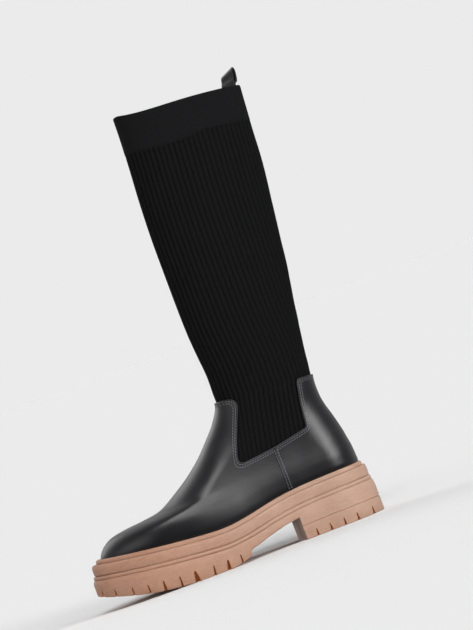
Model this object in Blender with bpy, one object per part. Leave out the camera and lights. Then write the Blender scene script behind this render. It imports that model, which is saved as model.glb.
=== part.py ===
"""A left pull-on boot: leather foot, slack ribbed-knit shaft and a chunky welted rubber sole.

Metres, +Z up. The toe points to -X, the outer side of the foot is at -Y, and the origin
is the middle of the heel's rest face, on the floor.
"""
import math

import bpy
from mathutils import Vector

# Driving sizes of the foot
UPPER_LENGTH = 0.2614      # toe to back of heel, along the feather line
UPPER_BACK = 0.0332        # place of the upper's back, behind the heel's middle
BALL_WIDTH = 0.0868        # across the ball of the upper
HEEL_HEIGHT = 0.0516       # floor to feather line at the heel
BALL_HEIGHT = 0.0382       # floor to feather line at the ball
TOE_SPRING = 0.012         # rise of the feather line from ball to toe
ANKLE_RISE = 0.099         # feather line to the top of the leather
ANKLE_WIDTH = 0.057        # across the ankle
TOE_SWING = 0.006          # how far the toe turns to the inner side

# Driving sizes of the shaft
SHAFT_RISE = 0.291         # top of the leather to the front of the collar
SHAFT_LEAN = 0.0312        # how far the slack back leans out over that rise
COLLAR_WIDTH = 0.062       # across the flat oval of the shaft
BAND_DEPTH = 0.040         # plain double-knit band at the top
COLLAR_SAG = 0.0024        # the collar's rim hangs this much in front of its middle

# Walls and clearances
LEATHER = 0.0018
LEATHER_PROUD = 0.0011     # outer face of the leather, out from the last's surface
KNIT = 0.0020
BAND_STEP = 0.0004         # the band stands out from the ribbed knit on both faces
GAP = 0.0003
LAP = 0.008                # knit that lies under the leather's edge
INSOLE = 0.003
STRIP = 0.0012             # thickness of the side seam strips
STRIP_WIDTH = 0.0046
STRIP_SHARE = 0.280        # place of the side seam, share of the length from the heel
STRIP_END = 0.0023         # the strip stops this far under the leather's edge

# Sole
WELT = 0.0040
MIDSOLE = 0.0113
BEAD = 0.0034              # moulded bead under the midsole
BEAD_ROUND = 0.0007
TREAD_SPRING = 0.0182      # floor to the tread's tip at the toe
ARCH_HEIGHT = 0.0222       # floor to the sole's underside in front of the heel
BREAST_SHARE = 0.2869      # place of the heel's front face
EDGE_ROUND = 0.0012
WELT_ROUND = 0.35          # share of the welt's height that its rounded top takes
MIDSOLE_SLOPE = 0.4        # share of the midsole's height that slopes in to the welt
BEAD_FLAT = 0.25           # share of the bead's height at which its round ends
HEEL_GROOVE = 0.0007
HEEL_LINE = (0.42, 0.45, 0.48)     # low side, bottom and high side of the groove, shares of the wall
WALL_SHOULDER = 0.97       # share of the wall at which it turns in under the bead
NOTCH_REACH = 0.014        # how far a tread notch runs in from the sole's edge
HEEL_NOTCH_REACH = 0.010
NOTCH_TOP = 0.2            # half width at a notch's top, share of its width
CUTTER_SPARE = 0.010
SHARE_ROUNDING = 1e-5

# Pull loop
LOOP_WIDTH = 0.0165
LOOP_LEATHER = 0.0018
LOOP_SPAN = (1.04, 1.20)  # near and far edge on the collar, as around values
LOOP_STAND = 0.0152        # height above the collar
LOOP_DROP = 0.022          # length sewn inside the collar
LOOP_OPEN = 0.0058         # half the spread of its two legs
LOOP_RAKE = 0.0055         # near edge stands higher than the far edge
# Fold of the strap above the collar: share of the opening inward, share of the height
LOOP_FOLD = ((-0.4, 0.30), (-0.7, 0.62), (-0.35, 0.88), (0.25, 0.95), (0.85, 0.82),
             (1.1, 0.45), (1.05, 0.0))

FRONT_COLUMNS = 32         # columns along each side of the upper
KNIT_COLUMNS = 22
TOE_STEPS = 9              # stations round the toe, between the round ends and round the heel
MIDDLE_STEPS = 9
HEEL_STEPS = 7
PLAN_REACH = 0.045         # a plan value is averaged this far each way, share of the length
NORMAL_STEP = 0.004        # step in rings and around values that a normal is read over

# Feather line: share of the length from the heel, share of the heel's extra height
FEATHER = ((0.0, 1.0), (0.14, 0.96), (0.25, 0.875), (0.33, 0.73), (0.405, 0.45),
           (0.48, 0.15), (0.557, 0.0), (1.1, 0.0))
SPRING_START = 0.557
SPRING_POWER = 1.3

# Plan of the last: share of the length, outer and inner half width as shares of half the ball
PLAN = ((-0.05, 0.71, 0.71), (0.12, 0.71, 0.71), (0.30, 0.74, 0.69), (0.42, 0.81, 0.70),
        (0.54, 0.94, 0.82), (0.63, 1.01, 0.94), (0.72, 1.00, 0.99), (0.82, 0.95, 0.97),
        (0.92, 0.88, 0.90), (1.10, 0.80, 0.80))

# Rings of the foot, from the feather line up to the leather's top. front and back are shares
# of the length, rise_front and rise_back of the ankle's rise above the feather line, width of
# half the ball, own is how far the ring has its own oval instead of the plan of the last,
# round_front and round_back are the lengths that close its ends, as shares of the length.
FOOT_COLUMNS = ("front", "rise_front", "back", "rise_back", "width", "own", "round_front", "round_back")
FOOT = ((1.000, 0.000, 0.000, 0.000, 0.965, 0.00, 0.225, 0.120),
        (0.993, 0.043, -0.001, 0.034, 0.995, 0.00, 0.225, 0.120),
        (0.974, 0.104, 0.000, 0.075, 1.000, 0.00, 0.215, 0.120),
        (0.941, 0.165, 0.001, 0.125, 0.985, 0.03, 0.205, 0.120),
        (0.885, 0.213, 0.003, 0.186, 0.950, 0.07, 0.190, 0.120),
        (0.808, 0.257, 0.008, 0.257, 0.905, 0.12, 0.180, 0.123),
        (0.741, 0.308, 0.013, 0.337, 0.855, 0.20, 0.175, 0.127),
        (0.676, 0.416, 0.021, 0.428, 0.800, 0.30, 0.170, 0.132),
        (0.604, 0.554, 0.030, 0.519, 0.745, 0.45, 0.170, 0.138),
        (0.545, 0.681, 0.039, 0.600, 0.700, 0.60, 0.173, 0.145),
        (0.500, 0.790, 0.046, 0.681, 0.670, 0.75, 0.178, 0.155),
        (0.457, 0.895, 0.049, 0.762, 0.657, 0.88, 0.182, 0.165),
        (0.425, 1.000, 0.049, 0.853, 0.657, 1.00, 0.184, 0.175),
        (0.414, 1.073, 0.046, 0.928, 0.657, 1.00, 0.184, 0.183))

# Rings of the shaft: rise_front and rise_back are shares of the shaft's rise, forward and
# backward of its lean, width goes from 0 at the ankle's width to 1 at the collar's.
SHAFT_COLUMNS = ("rise_front", "forward", "rise_back", "backward", "width")
SHAFT = ((0.034, -0.003, 0.050, 0.061, 0.10),
         (0.096, -0.013, 0.112, 0.128, 0.25),
         (0.165, 0.042, 0.184, 0.231, 0.40),
         (0.247, 0.096, 0.266, 0.346, 0.55),
         (0.344, 0.112, 0.366, 0.506, 0.70),
         (0.464, 0.112, 0.490, 0.651, 0.85),
         (0.584, 0.103, 0.607, 0.795, 0.95),
         (0.705, 0.058, 0.717, 0.917, 1.00),
         (0.832, -0.022, 0.827, 0.981, 1.00),
         (0.928, -0.071, 0.912, 1.038, 1.00),
         (1.000, -0.087, 0.978, 1.087, 1.00))
FOOT_TOP = len(FOOT) - 1
COLLAR = FOOT_TOP + len(SHAFT)

# Edge of the leather seen from the side, both sides alike: share of the length from the heel,
# share of the ankle's rise above the heel's feather line, corner radius in metres
LEATHER_EDGE = ((0.510, 1.004, 0.0), (0.335, 1.000, 0.010), (0.401, 0.598, 0.060),
                (0.431, 0.368, 0.011), (0.278, 0.412, 0.060), (0.144, 0.484, 0.0045),
                (0.132, 0.752, 0.060), (0.116, 0.955, 0.005), (-0.045, 0.915, 0.0))

# Underside of the tread and arch: share of the length, share of the tread's spring, share of
# the arch's height. The heel's underside is on the floor.
UNDERSIDE = ((0.2875, 0.0, 1.0), (0.306, 0.0, 0.98), (0.345, 0.0, 0.91), (0.384, 0.0, 0.80),
             (0.422, 0.0, 0.685), (0.461, 0.0, 0.55), (0.496, 0.0, 0.46), (0.4985, 0.28, 0.0),
             (0.509, 0.24, 0.0), (0.529, 0.12, 0.0), (0.553, 0.05, 0.0), (0.578, 0.0, 0.0),
             (0.730, 0.0, 0.0), (0.775, 0.06, 0.0), (0.813, 0.12, 0.0), (0.850, 0.18, 0.0),
             (0.886, 0.265, 0.0), (0.923, 0.37, 0.0), (0.958, 0.505, 0.0), (0.993, 0.64, 0.0),
             (1.027, 0.78, 0.0), (1.070, 1.0, 0.0))

# Notches in the edge of the tread: share of the length, width, height, slant at the top
TREAD_NOTCHES = ((1.003, 0.0018, 0.0075, 0.0), (0.945, 0.0018, 0.0085, 0.0), (0.890, 0.0020, 0.0090, 0.0),
                 (0.835, 0.0030, 0.0095, 0.0), (0.775, 0.0022, 0.0100, 0.0), (0.717, 0.0050, 0.0105, 0.0),
                 (0.656, 0.0024, 0.0095, 0.0025), (0.601, 0.0040, 0.0095, 0.0025),
                 (0.541, 0.0020, 0.0085, 0.0))
HEEL_NOTCHES = ((0.244, 0.0022, 0.0075, 0.0), (0.190, 0.0022, 0.0075, 0.0), (0.136, 0.0022, 0.0075, 0.0),
                (0.084, 0.0022, 0.0075, 0.0), (0.020, 0.0022, 0.0075, 0.0))

# Margins of each edge of the sole out from the upper's feather line: toe, side, heel
WELT_TOP = (0.0042, 0.0036, 0.0020)
WELT_SIDE = (0.0066, 0.0050, 0.0034)
MIDSOLE_TOP = (0.0095, 0.0062, 0.0054)
MIDSOLE_SIDE = (0.0124, 0.0078, 0.0063)
BEAD_MARGIN = (0.0140, 0.0078, 0.0072)
WALL_TOP = (0.0150, 0.0086, 0.0080)
WALL_MIDDLE = (0.0159, 0.0090, 0.0086)


def clear_scene():
    for item in list(bpy.data.objects):
        bpy.data.objects.remove(item, do_unlink=True)


def material(name, color, roughness):
    made = bpy.data.materials.new(name)
    made.use_nodes = True
    shader = made.node_tree.nodes["Principled BSDF"]
    shader.inputs["Base Color"].default_value = (*color, 1.0)
    shader.inputs["Roughness"].default_value = roughness
    shader.inputs["Metallic"].default_value = 0.0
    return made


def interpolate(table, place, column):
    """Value of a column at a place, straight between the rows."""
    if place <= table[0][0]:
        return table[0][column]
    for low, high in zip(table, table[1:]):
        if place <= high[0]:
            share = (place - low[0]) / (high[0] - low[0])
            return low[column] + (high[column] - low[column]) * share
    return table[-1][column]


def smooth(table, place, column):
    """Value of a column on a soft curve: the straight values averaged over a short stretch."""
    samples = (-1.0, -0.5, 0.0, 0.5, 1.0)
    return sum(interpolate(table, place + PLAN_REACH * step, column) for step in samples) / len(samples)


def between_rows(rows, place):
    """A row of values at a place between rows, on a Catmull-Rom curve."""
    index = min(int(place), len(rows) - 2)
    share = place - index
    before = rows[max(index - 1, 0)]
    low = rows[index]
    high = rows[index + 1]
    after = rows[min(index + 2, len(rows) - 1)]
    values = []
    for a, b, c, d in zip(before, low, high, after):
        tangent_low = (c - a) / 2
        tangent_high = (d - b) / 2
        curve = (2 * b - 2 * c + tangent_low + tangent_high) * share ** 3
        curve += (3 * c - 3 * b - 2 * tangent_low - tangent_high) * share ** 2
        values.append(curve + tangent_low * share + b)
    return values


def place_x(share):
    return UPPER_BACK - share * UPPER_LENGTH


def share_at(x):
    return (UPPER_BACK - x) / UPPER_LENGTH


def feather(x):
    """Height of the feather line, where the upper meets the welt."""
    share = share_at(x)
    extra = smooth(FEATHER, share, 1) * (HEEL_HEIGHT - BALL_HEIGHT)
    past = max(0.0, (share - SPRING_START) / (1 - SPRING_START))
    return BALL_HEIGHT + extra + TOE_SPRING * past ** SPRING_POWER


def dip(x):
    """How far the feather line hangs below the straight line from toe to heel."""
    toe = feather(place_x(1.0))
    heel = feather(place_x(0.0))
    return feather(x) - heel - (toe - heel) * share_at(x)


def swing(share):
    past = max(0.0, (share - 0.5) / 0.5)
    return TOE_SWING * min(past, 1.0) ** 1.5


def close_end(distance, length):
    """Quarter of an ellipse: 0 at the end of a ring, 1 where it has its full width."""
    if distance >= length:
        return 1.0
    return math.sqrt(max(0.0, 1 - (1 - distance / length) ** 2))


def ring_values():
    """All rings from the feather line to the collar: ends, widths and end rounds in metres."""
    rings = []
    half_ball = BALL_WIDTH / 2
    for index, row in enumerate(FOOT):
        value = dict(zip(FOOT_COLUMNS, row))
        front_x = place_x(value["front"])
        front_z = feather(front_x) + value["rise_front"] * ANKLE_RISE
        back_z = HEEL_HEIGHT + value["rise_back"] * ANKLE_RISE
        ankle = (index / FOOT_TOP) ** 3
        half = value["width"] * half_ball * (1 - ankle) + ANKLE_WIDTH / 2 * ankle
        hang = (1 - index / FOOT_TOP) ** 1.5
        rings.append((front_x, front_z, place_x(value["back"]), back_z, half, value["own"],
                      value["round_front"] * UPPER_LENGTH, value["round_back"] * UPPER_LENGTH, hang))
    ankle_front_x, ankle_front_z, ankle_back_x = rings[-1][:3]
    ankle_back_z = rings[-1][3]
    for row in SHAFT:
        value = dict(zip(SHAFT_COLUMNS, row))
        front_x = ankle_front_x - value["forward"] * SHAFT_LEAN
        back_x = ankle_back_x + value["backward"] * SHAFT_LEAN
        front_z = ankle_front_z + value["rise_front"] * SHAFT_RISE
        back_z = ankle_back_z + value["rise_back"] * SHAFT_RISE
        half = (ANKLE_WIDTH + (COLLAR_WIDTH - ANKLE_WIDTH) * value["width"]) / 2
        depth = (back_x - front_x) / 2
        rings.append((front_x, front_z, back_x, back_z, half, 1.0, depth, depth, 0.0))
    return rings


def sag(ring, along):
    """How far the rim hangs at a share of its length, fading out two rings below it."""
    near_rim = max(0.0, 1 - (COLLAR - ring) / 2)
    shape = along * (1 - along) ** 4 / (0.2 * 0.8 ** 4)
    return COLLAR_SAG * shape * near_rim


def surface(rings, ring, around):
    """Point of the last's surface. around goes 0 at the front, 1 at the back by the outer
    side, and on to 2 at the front again by the inner side."""
    front_x, front_z, back_x, back_z, half, own, round_front, round_back, hang = between_rows(rings, ring)
    along = (1 - math.cos(math.pi * around)) / 2
    x = front_x + (back_x - front_x) * along
    level = dip(x) - dip(front_x) * (1 - along) - dip(back_x) * along
    z = front_z + (back_z - front_z) * along + hang * level - sag(ring, along)
    outer = around < 1
    share = share_at(x)
    plan = smooth(PLAN, share, 1 if outer else 2)
    reach = half * (plan + (1 - plan) * own)
    depth = back_x - front_x
    reach *= close_end(x - front_x, min(round_front, depth / 2))
    reach *= close_end(back_x - x, min(round_back, depth / 2))
    return Vector((x, (-reach if outer else reach) + swing(share) * (1 - own), z))


def offset_point(rings, ring, around, distance):
    """Surface point moved out along the surface's normal."""
    top = min(ring + NORMAL_STEP, COLLAR)
    bottom = max(top - 2 * NORMAL_STEP, 0.0)
    up = surface(rings, top, around) - surface(rings, bottom, around)
    ahead = surface(rings, ring, (around + NORMAL_STEP) % 2)
    along = ahead - surface(rings, ring, (around - NORMAL_STEP) % 2)
    normal = along.cross(up)
    if around in (0, 1):
        normal.y = 0.0
    return surface(rings, ring, around) + normal.normalized() * distance


def ring_loop(rings, ring, columns, distance):
    return [offset_point(rings, ring, step / columns, distance) for step in range(2 * columns)]


def mesh_object(name, points, faces, finish):
    mesh = bpy.data.meshes.new(name)
    mesh.from_pydata([tuple(point) for point in points], [], faces)
    mesh.materials.append(finish)
    mesh.validate()
    made = bpy.data.objects.new(name, mesh)
    bpy.context.collection.objects.link(made)
    mesh.shade_smooth()
    mesh.set_sharp_from_angle(angle=math.radians(35))
    return made


def tube(name, loops, finish):
    """Closed solid from loops that run up its outer face and down its inner face."""
    count = len(loops[0])
    points = [point for loop in loops for point in loop]
    faces = []
    for level in range(len(loops)):
        above = (level + 1) % len(loops)
        for step in range(count):
            after = (step + 1) % count
            faces.append((level * count + step, level * count + after,
                          above * count + after, above * count + step))
    return mesh_object(name, points, faces, finish)


def plate(name, loops, finish):
    """Closed solid from loops that run up its side, with a cap across the lowest and highest.
    Point 0 is the toe, the middle point is the heel, and the sides have matching points."""
    count = len(loops[0])
    points = [point for loop in loops for point in loop]
    faces = []
    for level in range(len(loops) - 1):
        for step in range(count):
            after = (step + 1) % count
            faces.append((level * count + step, level * count + after,
                          (level + 1) * count + after, (level + 1) * count + step))
    half = count // 2
    top = (len(loops) - 1) * count
    for step in range(half):
        cap = [step, (count - step) % count, count - step - 1, step + 1]
        cap = list(dict.fromkeys(cap))
        faces.append(tuple(cap))
        faces.append(tuple(top + index for index in reversed(cap)))
    return mesh_object(name, points, faces, finish)


def prism(name, outline, low_y, high_y):
    """Cutter: an outline in the XZ plane, pulled along Y."""
    count = len(outline)
    points = [(x, low_y, z) for x, z in outline] + [(x, high_y, z) for x, z in outline]
    area = sum(a[0] * b[1] - b[0] * a[1] for a, b in zip(outline, outline[1:] + outline[:1]))
    near = tuple(range(count))
    far = tuple(range(2 * count - 1, count - 1, -1))
    faces = [near, far]
    for step in range(count):
        after = (step + 1) % count
        faces.append((step, step + count, after + count, after))
    if area < 0:
        faces = [tuple(reversed(face)) for face in faces]
    return cutter_object(name, points, faces)


def cutter_object(name, points, faces):
    mesh = bpy.data.meshes.new(name)
    mesh.from_pydata(points, [], faces)
    made = bpy.data.objects.new(name, mesh)
    bpy.context.collection.objects.link(made)
    made.hide_render = True
    made.display_type = "WIRE"
    return made


def cut(piece, cutter, operation="DIFFERENCE"):
    modifier = piece.modifiers.new(cutter.name, "BOOLEAN")
    modifier.operation = operation
    modifier.solver = "EXACT"
    modifier.object = cutter


def edge_outline(shift):
    """Edge of the leather in the XZ plane with its corners rounded. shift moves it down and
    into the leather."""
    corners = [Vector((place_x(share), HEEL_HEIGHT + rise * ANKLE_RISE)) for share, rise, _ in LEATHER_EDGE]
    radii = [radius for _, _, radius in LEATHER_EDGE]
    lines = []
    for start, end in zip(corners, corners[1:]):
        direction = (end - start).normalized()
        normal = Vector((direction.y, -direction.x))
        lines.append((start + normal * shift, end + normal * shift))
    moved = [lines[0][0]]
    for first, second in zip(lines, lines[1:]):
        first_way = first[1] - first[0]
        second_way = second[1] - second[0]
        cross = first_way.x * second_way.y - first_way.y * second_way.x
        offset = second[0] - first[0]
        share = (offset.x * second_way.y - offset.y * second_way.x) / cross if abs(cross) > 1e-12 else 1.0
        moved.append(first[0] + first_way * share)
    moved.append(lines[-1][1])
    outline = [moved[0]]
    for before, corner, after, radius in zip(moved, moved[1:], moved[2:], radii[1:]):
        way_in = (before - corner).normalized()
        way_out = (after - corner).normalized()
        turn = math.acos(max(-1.0, min(1.0, way_in.dot(way_out))))
        inside = (way_in.x * way_out.y - way_in.y * way_out.x) < 0
        own_radius = max(0.001, radius + (shift if inside else -shift))
        reach = min(own_radius / math.tan(turn / 2), (before - corner).length * 0.45,
                    (after - corner).length * 0.45)
        start = corner + way_in * reach
        end = corner + way_out * reach
        for step in range(6):
            share = step / 5
            outline.append(start * (1 - share) ** 2 + corner * 2 * share * (1 - share) + end * share ** 2)
    outline.append(moved[-1])
    return [(point.x, point.y) for point in outline]


def make_upper(rings, finish):
    """Leather foot: one hollow wall, open underneath, at the top and at the two side cut-outs."""
    outer = LEATHER_PROUD
    inner = LEATHER_PROUD - LEATHER
    places = [0, 0.5, 1, 1.5] + list(range(2, FOOT_TOP + 1)) + [FOOT_TOP + 0.6]
    foot = Vector((0, 0, WELT - GAP))
    outside = [ring_loop(rings, place, FRONT_COLUMNS, outer) for place in places]
    inside = [ring_loop(rings, place, FRONT_COLUMNS, inner) for place in places]
    outside.insert(0, [point - foot for point in flat_to_feather(outside[0])])
    inside.insert(0, [point - foot for point in flat_to_feather(inside[0])])
    piece = tube("upper", outside + inside[::-1], finish)
    edge = edge_outline(0.0)
    high = HEEL_HEIGHT + 2 * ANKLE_RISE
    cutter = prism("upper_edge_cutter", edge + [(edge[-1][0], high), (edge[0][0], high)],
                   -BALL_WIDTH, BALL_WIDTH)
    cut(piece, cutter)


def flat_to_feather(loop):
    """The same loop with each point's height on the feather line."""
    return [Vector((point.x, point.y, feather(point.x))) for point in loop]


def make_shaft(rings, finish):
    """Knit tube from under the leather's edge to the collar, its top band a step in its wall."""
    outer = LEATHER_PROUD - LEATHER - GAP
    inner = outer - KNIT
    band = ring_at_rise(1 - BAND_DEPTH / SHAFT_RISE)
    places = [place for place in range(5, COLLAR - 1)]
    loops_out = [ring_loop(rings, place, KNIT_COLUMNS, outer) for place in places if place < band - 0.2]
    loops_in = [ring_loop(rings, place, KNIT_COLUMNS, inner) for place in places if place < band - 0.2]
    for place, step in ((band, 0.0), (band + 0.03, BAND_STEP), (COLLAR - 1, BAND_STEP),
                        (COLLAR - 0.08, BAND_STEP), (COLLAR, BAND_STEP - EDGE_ROUND / 2)):
        loops_out.append(ring_loop(rings, place, KNIT_COLUMNS, outer + step))
        loops_in.append(ring_loop(rings, place, KNIT_COLUMNS, inner - step))
    piece = tube("shaft", loops_out + loops_in[::-1], finish)
    edge = edge_outline(LAP)
    low = 0.0
    cutter = prism("shaft_lap_cutter",
                   edge + [(edge[-1][0], low), (place_x(1.0), low), (place_x(1.0), edge[0][1])],
                   -BALL_WIDTH, BALL_WIDTH)
    cut(piece, cutter)


def ring_at_rise(rise):
    """Ring of the shaft whose front stands at a share of the shaft's rise."""
    for index, (low, high) in enumerate(zip(SHAFT, SHAFT[1:])):
        if rise <= high[0]:
            return FOOT_TOP + 1 + index + (rise - low[0]) / (high[0] - low[0])
    return COLLAR


def make_strips(rings, finish):
    """Raised laps over the joins of vamp and quarter, cut between two forms of the upper."""
    middle = place_x(STRIP_SHARE)
    low_out = LEATHER_PROUD + GAP
    places = [0.25, 0.5, 1, 1.5, 2, 2.5] + list(range(3, FOOT_TOP))
    top = interpolate_outline(edge_outline(0.0), middle) - STRIP_END
    for side, start in (("outer", 0), ("inner", FRONT_COLUMNS)):
        edges = []
        for place in places:
            row = []
            for reach in (-0.5, 0.5):
                x = middle + reach * STRIP_WIDTH
                around = around_at(rings, place, x, side)
                row.append((around, place))
            edges.append(row)
        build_strip(rings, "side_strip_" + side, edges, low_out, top, finish)


def around_at(rings, ring, x, side):
    """The around value at which a ring of the surface passes a place along the foot."""
    front_x, _, back_x = between_rows(rings, ring)[:3]
    along = (x - front_x) / (back_x - front_x)
    around = math.acos(1 - 2 * along) / math.pi
    return around if side == "outer" else 2 - around


def interpolate_outline(outline, x):
    for (x_low, z_low), (x_high, z_high) in zip(outline, outline[1:]):
        if x_low <= x <= x_high:
            return z_low + (z_high - z_low) * (x - x_low) / (x_high - x_low)
    return outline[-1][1]


def build_strip(rings, name, edges, low_out, top, finish):
    loops = []
    for row in edges:
        if surface(rings, row[0][1], row[0][0]).z > top:
            break
        corners = [offset_point(rings, place, around, distance)
                   for around, place, distance in ((row[0][0], row[0][1], low_out),
                                                   (row[1][0], row[1][1], low_out),
                                                   (row[1][0], row[1][1], low_out + STRIP),
                                                   (row[0][0], row[0][1], low_out + STRIP))]
        loops.append(corners)
    points = [point for loop in loops for point in loop]
    faces = []
    for level in range(len(loops) - 1):
        for step in range(4):
            after = (step + 1) % 4
            faces.append((level * 4 + step, level * 4 + after, level * 4 + 4 + after, level * 4 + 4 + step))
    faces.append((3, 2, 1, 0))
    last = (len(loops) - 1) * 4
    faces.append((last, last + 1, last + 2, last + 3))
    if name.endswith("outer"):
        faces = [tuple(reversed(face)) for face in faces]
    return mesh_object(name, points, faces, finish)


def sole_ends(margin):
    """Tip and end of an outline of the sole, and the lengths that its round ends take."""
    toe, side, heel = margin
    tip = place_x(1.0) - toe
    end = place_x(0.0) + heel
    toe_round = FOOT[0][6] * UPPER_LENGTH + (toe + side) / 2
    heel_round = FOOT[0][7] * UPPER_LENGTH + (heel + side) / 2
    return tip, end, toe_round, heel_round


def station_x(station, margin):
    """Place of a station: an angle round the toe or the heel, a share of what lies between
    them, or a share of the whole length."""
    zone, value = station
    tip, end, toe_round, heel_round = sole_ends(margin)
    if zone == "whole":
        return tip + (end - tip) * value
    if zone == "toe":
        return tip + toe_round * (1 - math.cos(value))
    if zone == "heel":
        return end - heel_round * (1 - math.cos(value))
    return tip + toe_round + (end - heel_round - tip - toe_round) * value


def sole_stations(middle):
    quarter = math.pi / 2
    toe = [("toe", quarter * step / TOE_STEPS) for step in range(TOE_STEPS + 1)]
    heel = [("heel", quarter * step / HEEL_STEPS) for step in range(HEEL_STEPS, -1, -1)]
    return toe + [("middle", value) for value in middle] + heel


def even_stations():
    return sole_stations([step / MIDDLE_STEPS for step in range(1, MIDDLE_STEPS)])


def outsole_stations():
    """Stations with one at each row of the underside and on both edges of the heel's front."""
    tip, end, toe_round, heel_round = sole_ends(WALL_MIDDLE)
    start = tip + toe_round
    length = end - heel_round - start
    places = [place_x(row[0]) for row in UNDERSIDE] + [place_x(BREAST_SHARE)]
    shares = sorted((x - start) / length for x in places)
    shares = [0.0] + [share for share in shares if 0.01 < share < 0.99] + [1.0]
    middle = []
    for low, high in zip(shares, shares[1:]):
        parts = max(1, math.ceil((high - low) * MIDDLE_STEPS))
        middle.extend(low + (high - low) * step / parts for step in range(parts))
    return sole_stations(middle[1:])


def sole_y(x, margin, inner):
    """Edge of an outline of the sole at a place."""
    tip, end, toe_round, heel_round = sole_ends(margin)
    half = BALL_WIDTH / 2 * FOOT[0][4] + margin[1]
    share = share_at(x)
    close = close_end(x - tip, toe_round) * close_end(end - x, heel_round)
    reach = smooth(PLAN, share, 2 if inner else 1) * half * close
    return swing(share) + (reach if inner else -reach)


def sole_loop(margin, height, stations):
    """Outline of the last's plan with margins at toe, side and heel. height gives Z from the
    point's own X and from the X of the same station on the side wall."""
    outer_side = []
    inner_side = []
    for station in stations:
        x = station_x(station, margin)
        z = height(x, station_x(station, WALL_MIDDLE))
        outer_side.append(Vector((x, sole_y(x, margin, False), z)))
        inner_side.append(Vector((x, sole_y(x, margin, True), z)))
    return outer_side + inner_side[-2:0:-1]


def below_feather(drop):
    return lambda x, wall_x: feather(x) - drop


def make_insole(rings, finish):
    inside = ring_loop(rings, 0, FRONT_COLUMNS, LEATHER_PROUD - LEATHER - GAP)
    low = Vector((0, 0, WELT - GAP))
    high = Vector((0, 0, WELT - GAP - INSOLE))
    level = flat_to_feather(inside)
    plate("insole", [[point - low for point in level], [point - high for point in level]], finish)


def make_welt(rings, finish):
    """Rubber strip round the upper, standing on the midsole."""
    inside = flat_to_feather(ring_loop(rings, 0, FRONT_COLUMNS, LEATHER_PROUD + GAP))
    low = Vector((0, 0, WELT))
    stations = [("whole", (1 - math.cos(math.pi * step / FRONT_COLUMNS)) / 2)
                for step in range(FRONT_COLUMNS + 1)]
    loops = [sole_loop(WELT_SIDE, below_feather(WELT), stations),
             sole_loop(WELT_SIDE, below_feather(WELT * WELT_ROUND), stations),
             sole_loop(WELT_TOP, below_feather(0.0), stations),
             inside, [point - low for point in inside]]
    tube("welt", loops, finish)


def make_midsole(stations, finish):
    top = WELT + GAP
    bottom = WELT + MIDSOLE
    loops = [sole_loop(MIDSOLE_TOP, below_feather(bottom), stations),
             sole_loop(MIDSOLE_SIDE, below_feather(bottom - EDGE_ROUND), stations),
             sole_loop(MIDSOLE_SIDE, below_feather(top + MIDSOLE * MIDSOLE_SLOPE), stations),
             sole_loop(MIDSOLE_TOP, below_feather(top), stations)]
    plate("midsole", loops, finish)


def underside(x):
    """Height of the sole's underside above the floor."""
    share = share_at(x)
    if share < BREAST_SHARE + SHARE_ROUNDING:
        return 0.0
    return interpolate(UNDERSIDE, share, 1) * TREAD_SPRING + interpolate(UNDERSIDE, share, 2) * ARCH_HEIGHT


def make_outsole(finish):
    """Moulded bottom: bead, side wall with its heel groove, arch, tread and heel block."""
    stations = outsole_stations()
    top = WELT + MIDSOLE + GAP
    wall_top = top + BEAD + GAP

    def on_wall(share, lift=0.0):
        """Height on the side wall: 0 at the underside, 1 under the bead."""
        return lambda x, wall_x: (underside(wall_x) + lift) * (1 - share) + (feather(x) - wall_top) * share

    def less(margin, amount):
        return tuple(value - amount for value in margin)

    line_low, line_bottom, line_high = HEEL_LINE
    groove = less(WALL_MIDDLE, HEEL_GROOVE)
    loops = [sole_loop(less(WALL_MIDDLE, EDGE_ROUND), on_wall(0.0), stations),
             sole_loop(WALL_MIDDLE, on_wall(0.0, EDGE_ROUND), stations),
             sole_loop(WALL_MIDDLE, on_wall(line_low), stations),
             heel_only(sole_loop(WALL_MIDDLE, on_wall(line_bottom), stations),
                       sole_loop(groove, on_wall(line_bottom), stations)),
             sole_loop(WALL_MIDDLE, on_wall(line_high), stations),
             sole_loop(WALL_TOP, on_wall(WALL_SHOULDER), stations),
             sole_loop(less(BEAD_MARGIN, BEAD_ROUND), on_wall(1.0), stations),
             sole_loop(BEAD_MARGIN, below_feather(wall_top - BEAD * BEAD_FLAT), stations),
             sole_loop(BEAD_MARGIN, below_feather(wall_top - BEAD * (1 - BEAD_FLAT)), stations),
             sole_loop(less(BEAD_MARGIN, BEAD_ROUND), below_feather(top), stations)]
    piece = plate("outsole", loops, finish)
    points = []
    faces = []
    for notches, reach in ((TREAD_NOTCHES, NOTCH_REACH), (HEEL_NOTCHES, HEEL_NOTCH_REACH)):
        for share, width, height, slant in notches:
            add_notch_pair(points, faces, share, width, height, slant, reach)
    cut(piece, cutter_object("notch_cutters", points, faces))


def heel_only(plain, grooved):
    """The grooved loop's points in the heel, the plain loop's in the rest."""
    front = place_x(BREAST_SHARE)
    return [second if first.x > front else first for first, second in zip(plain, grooved)]


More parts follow.
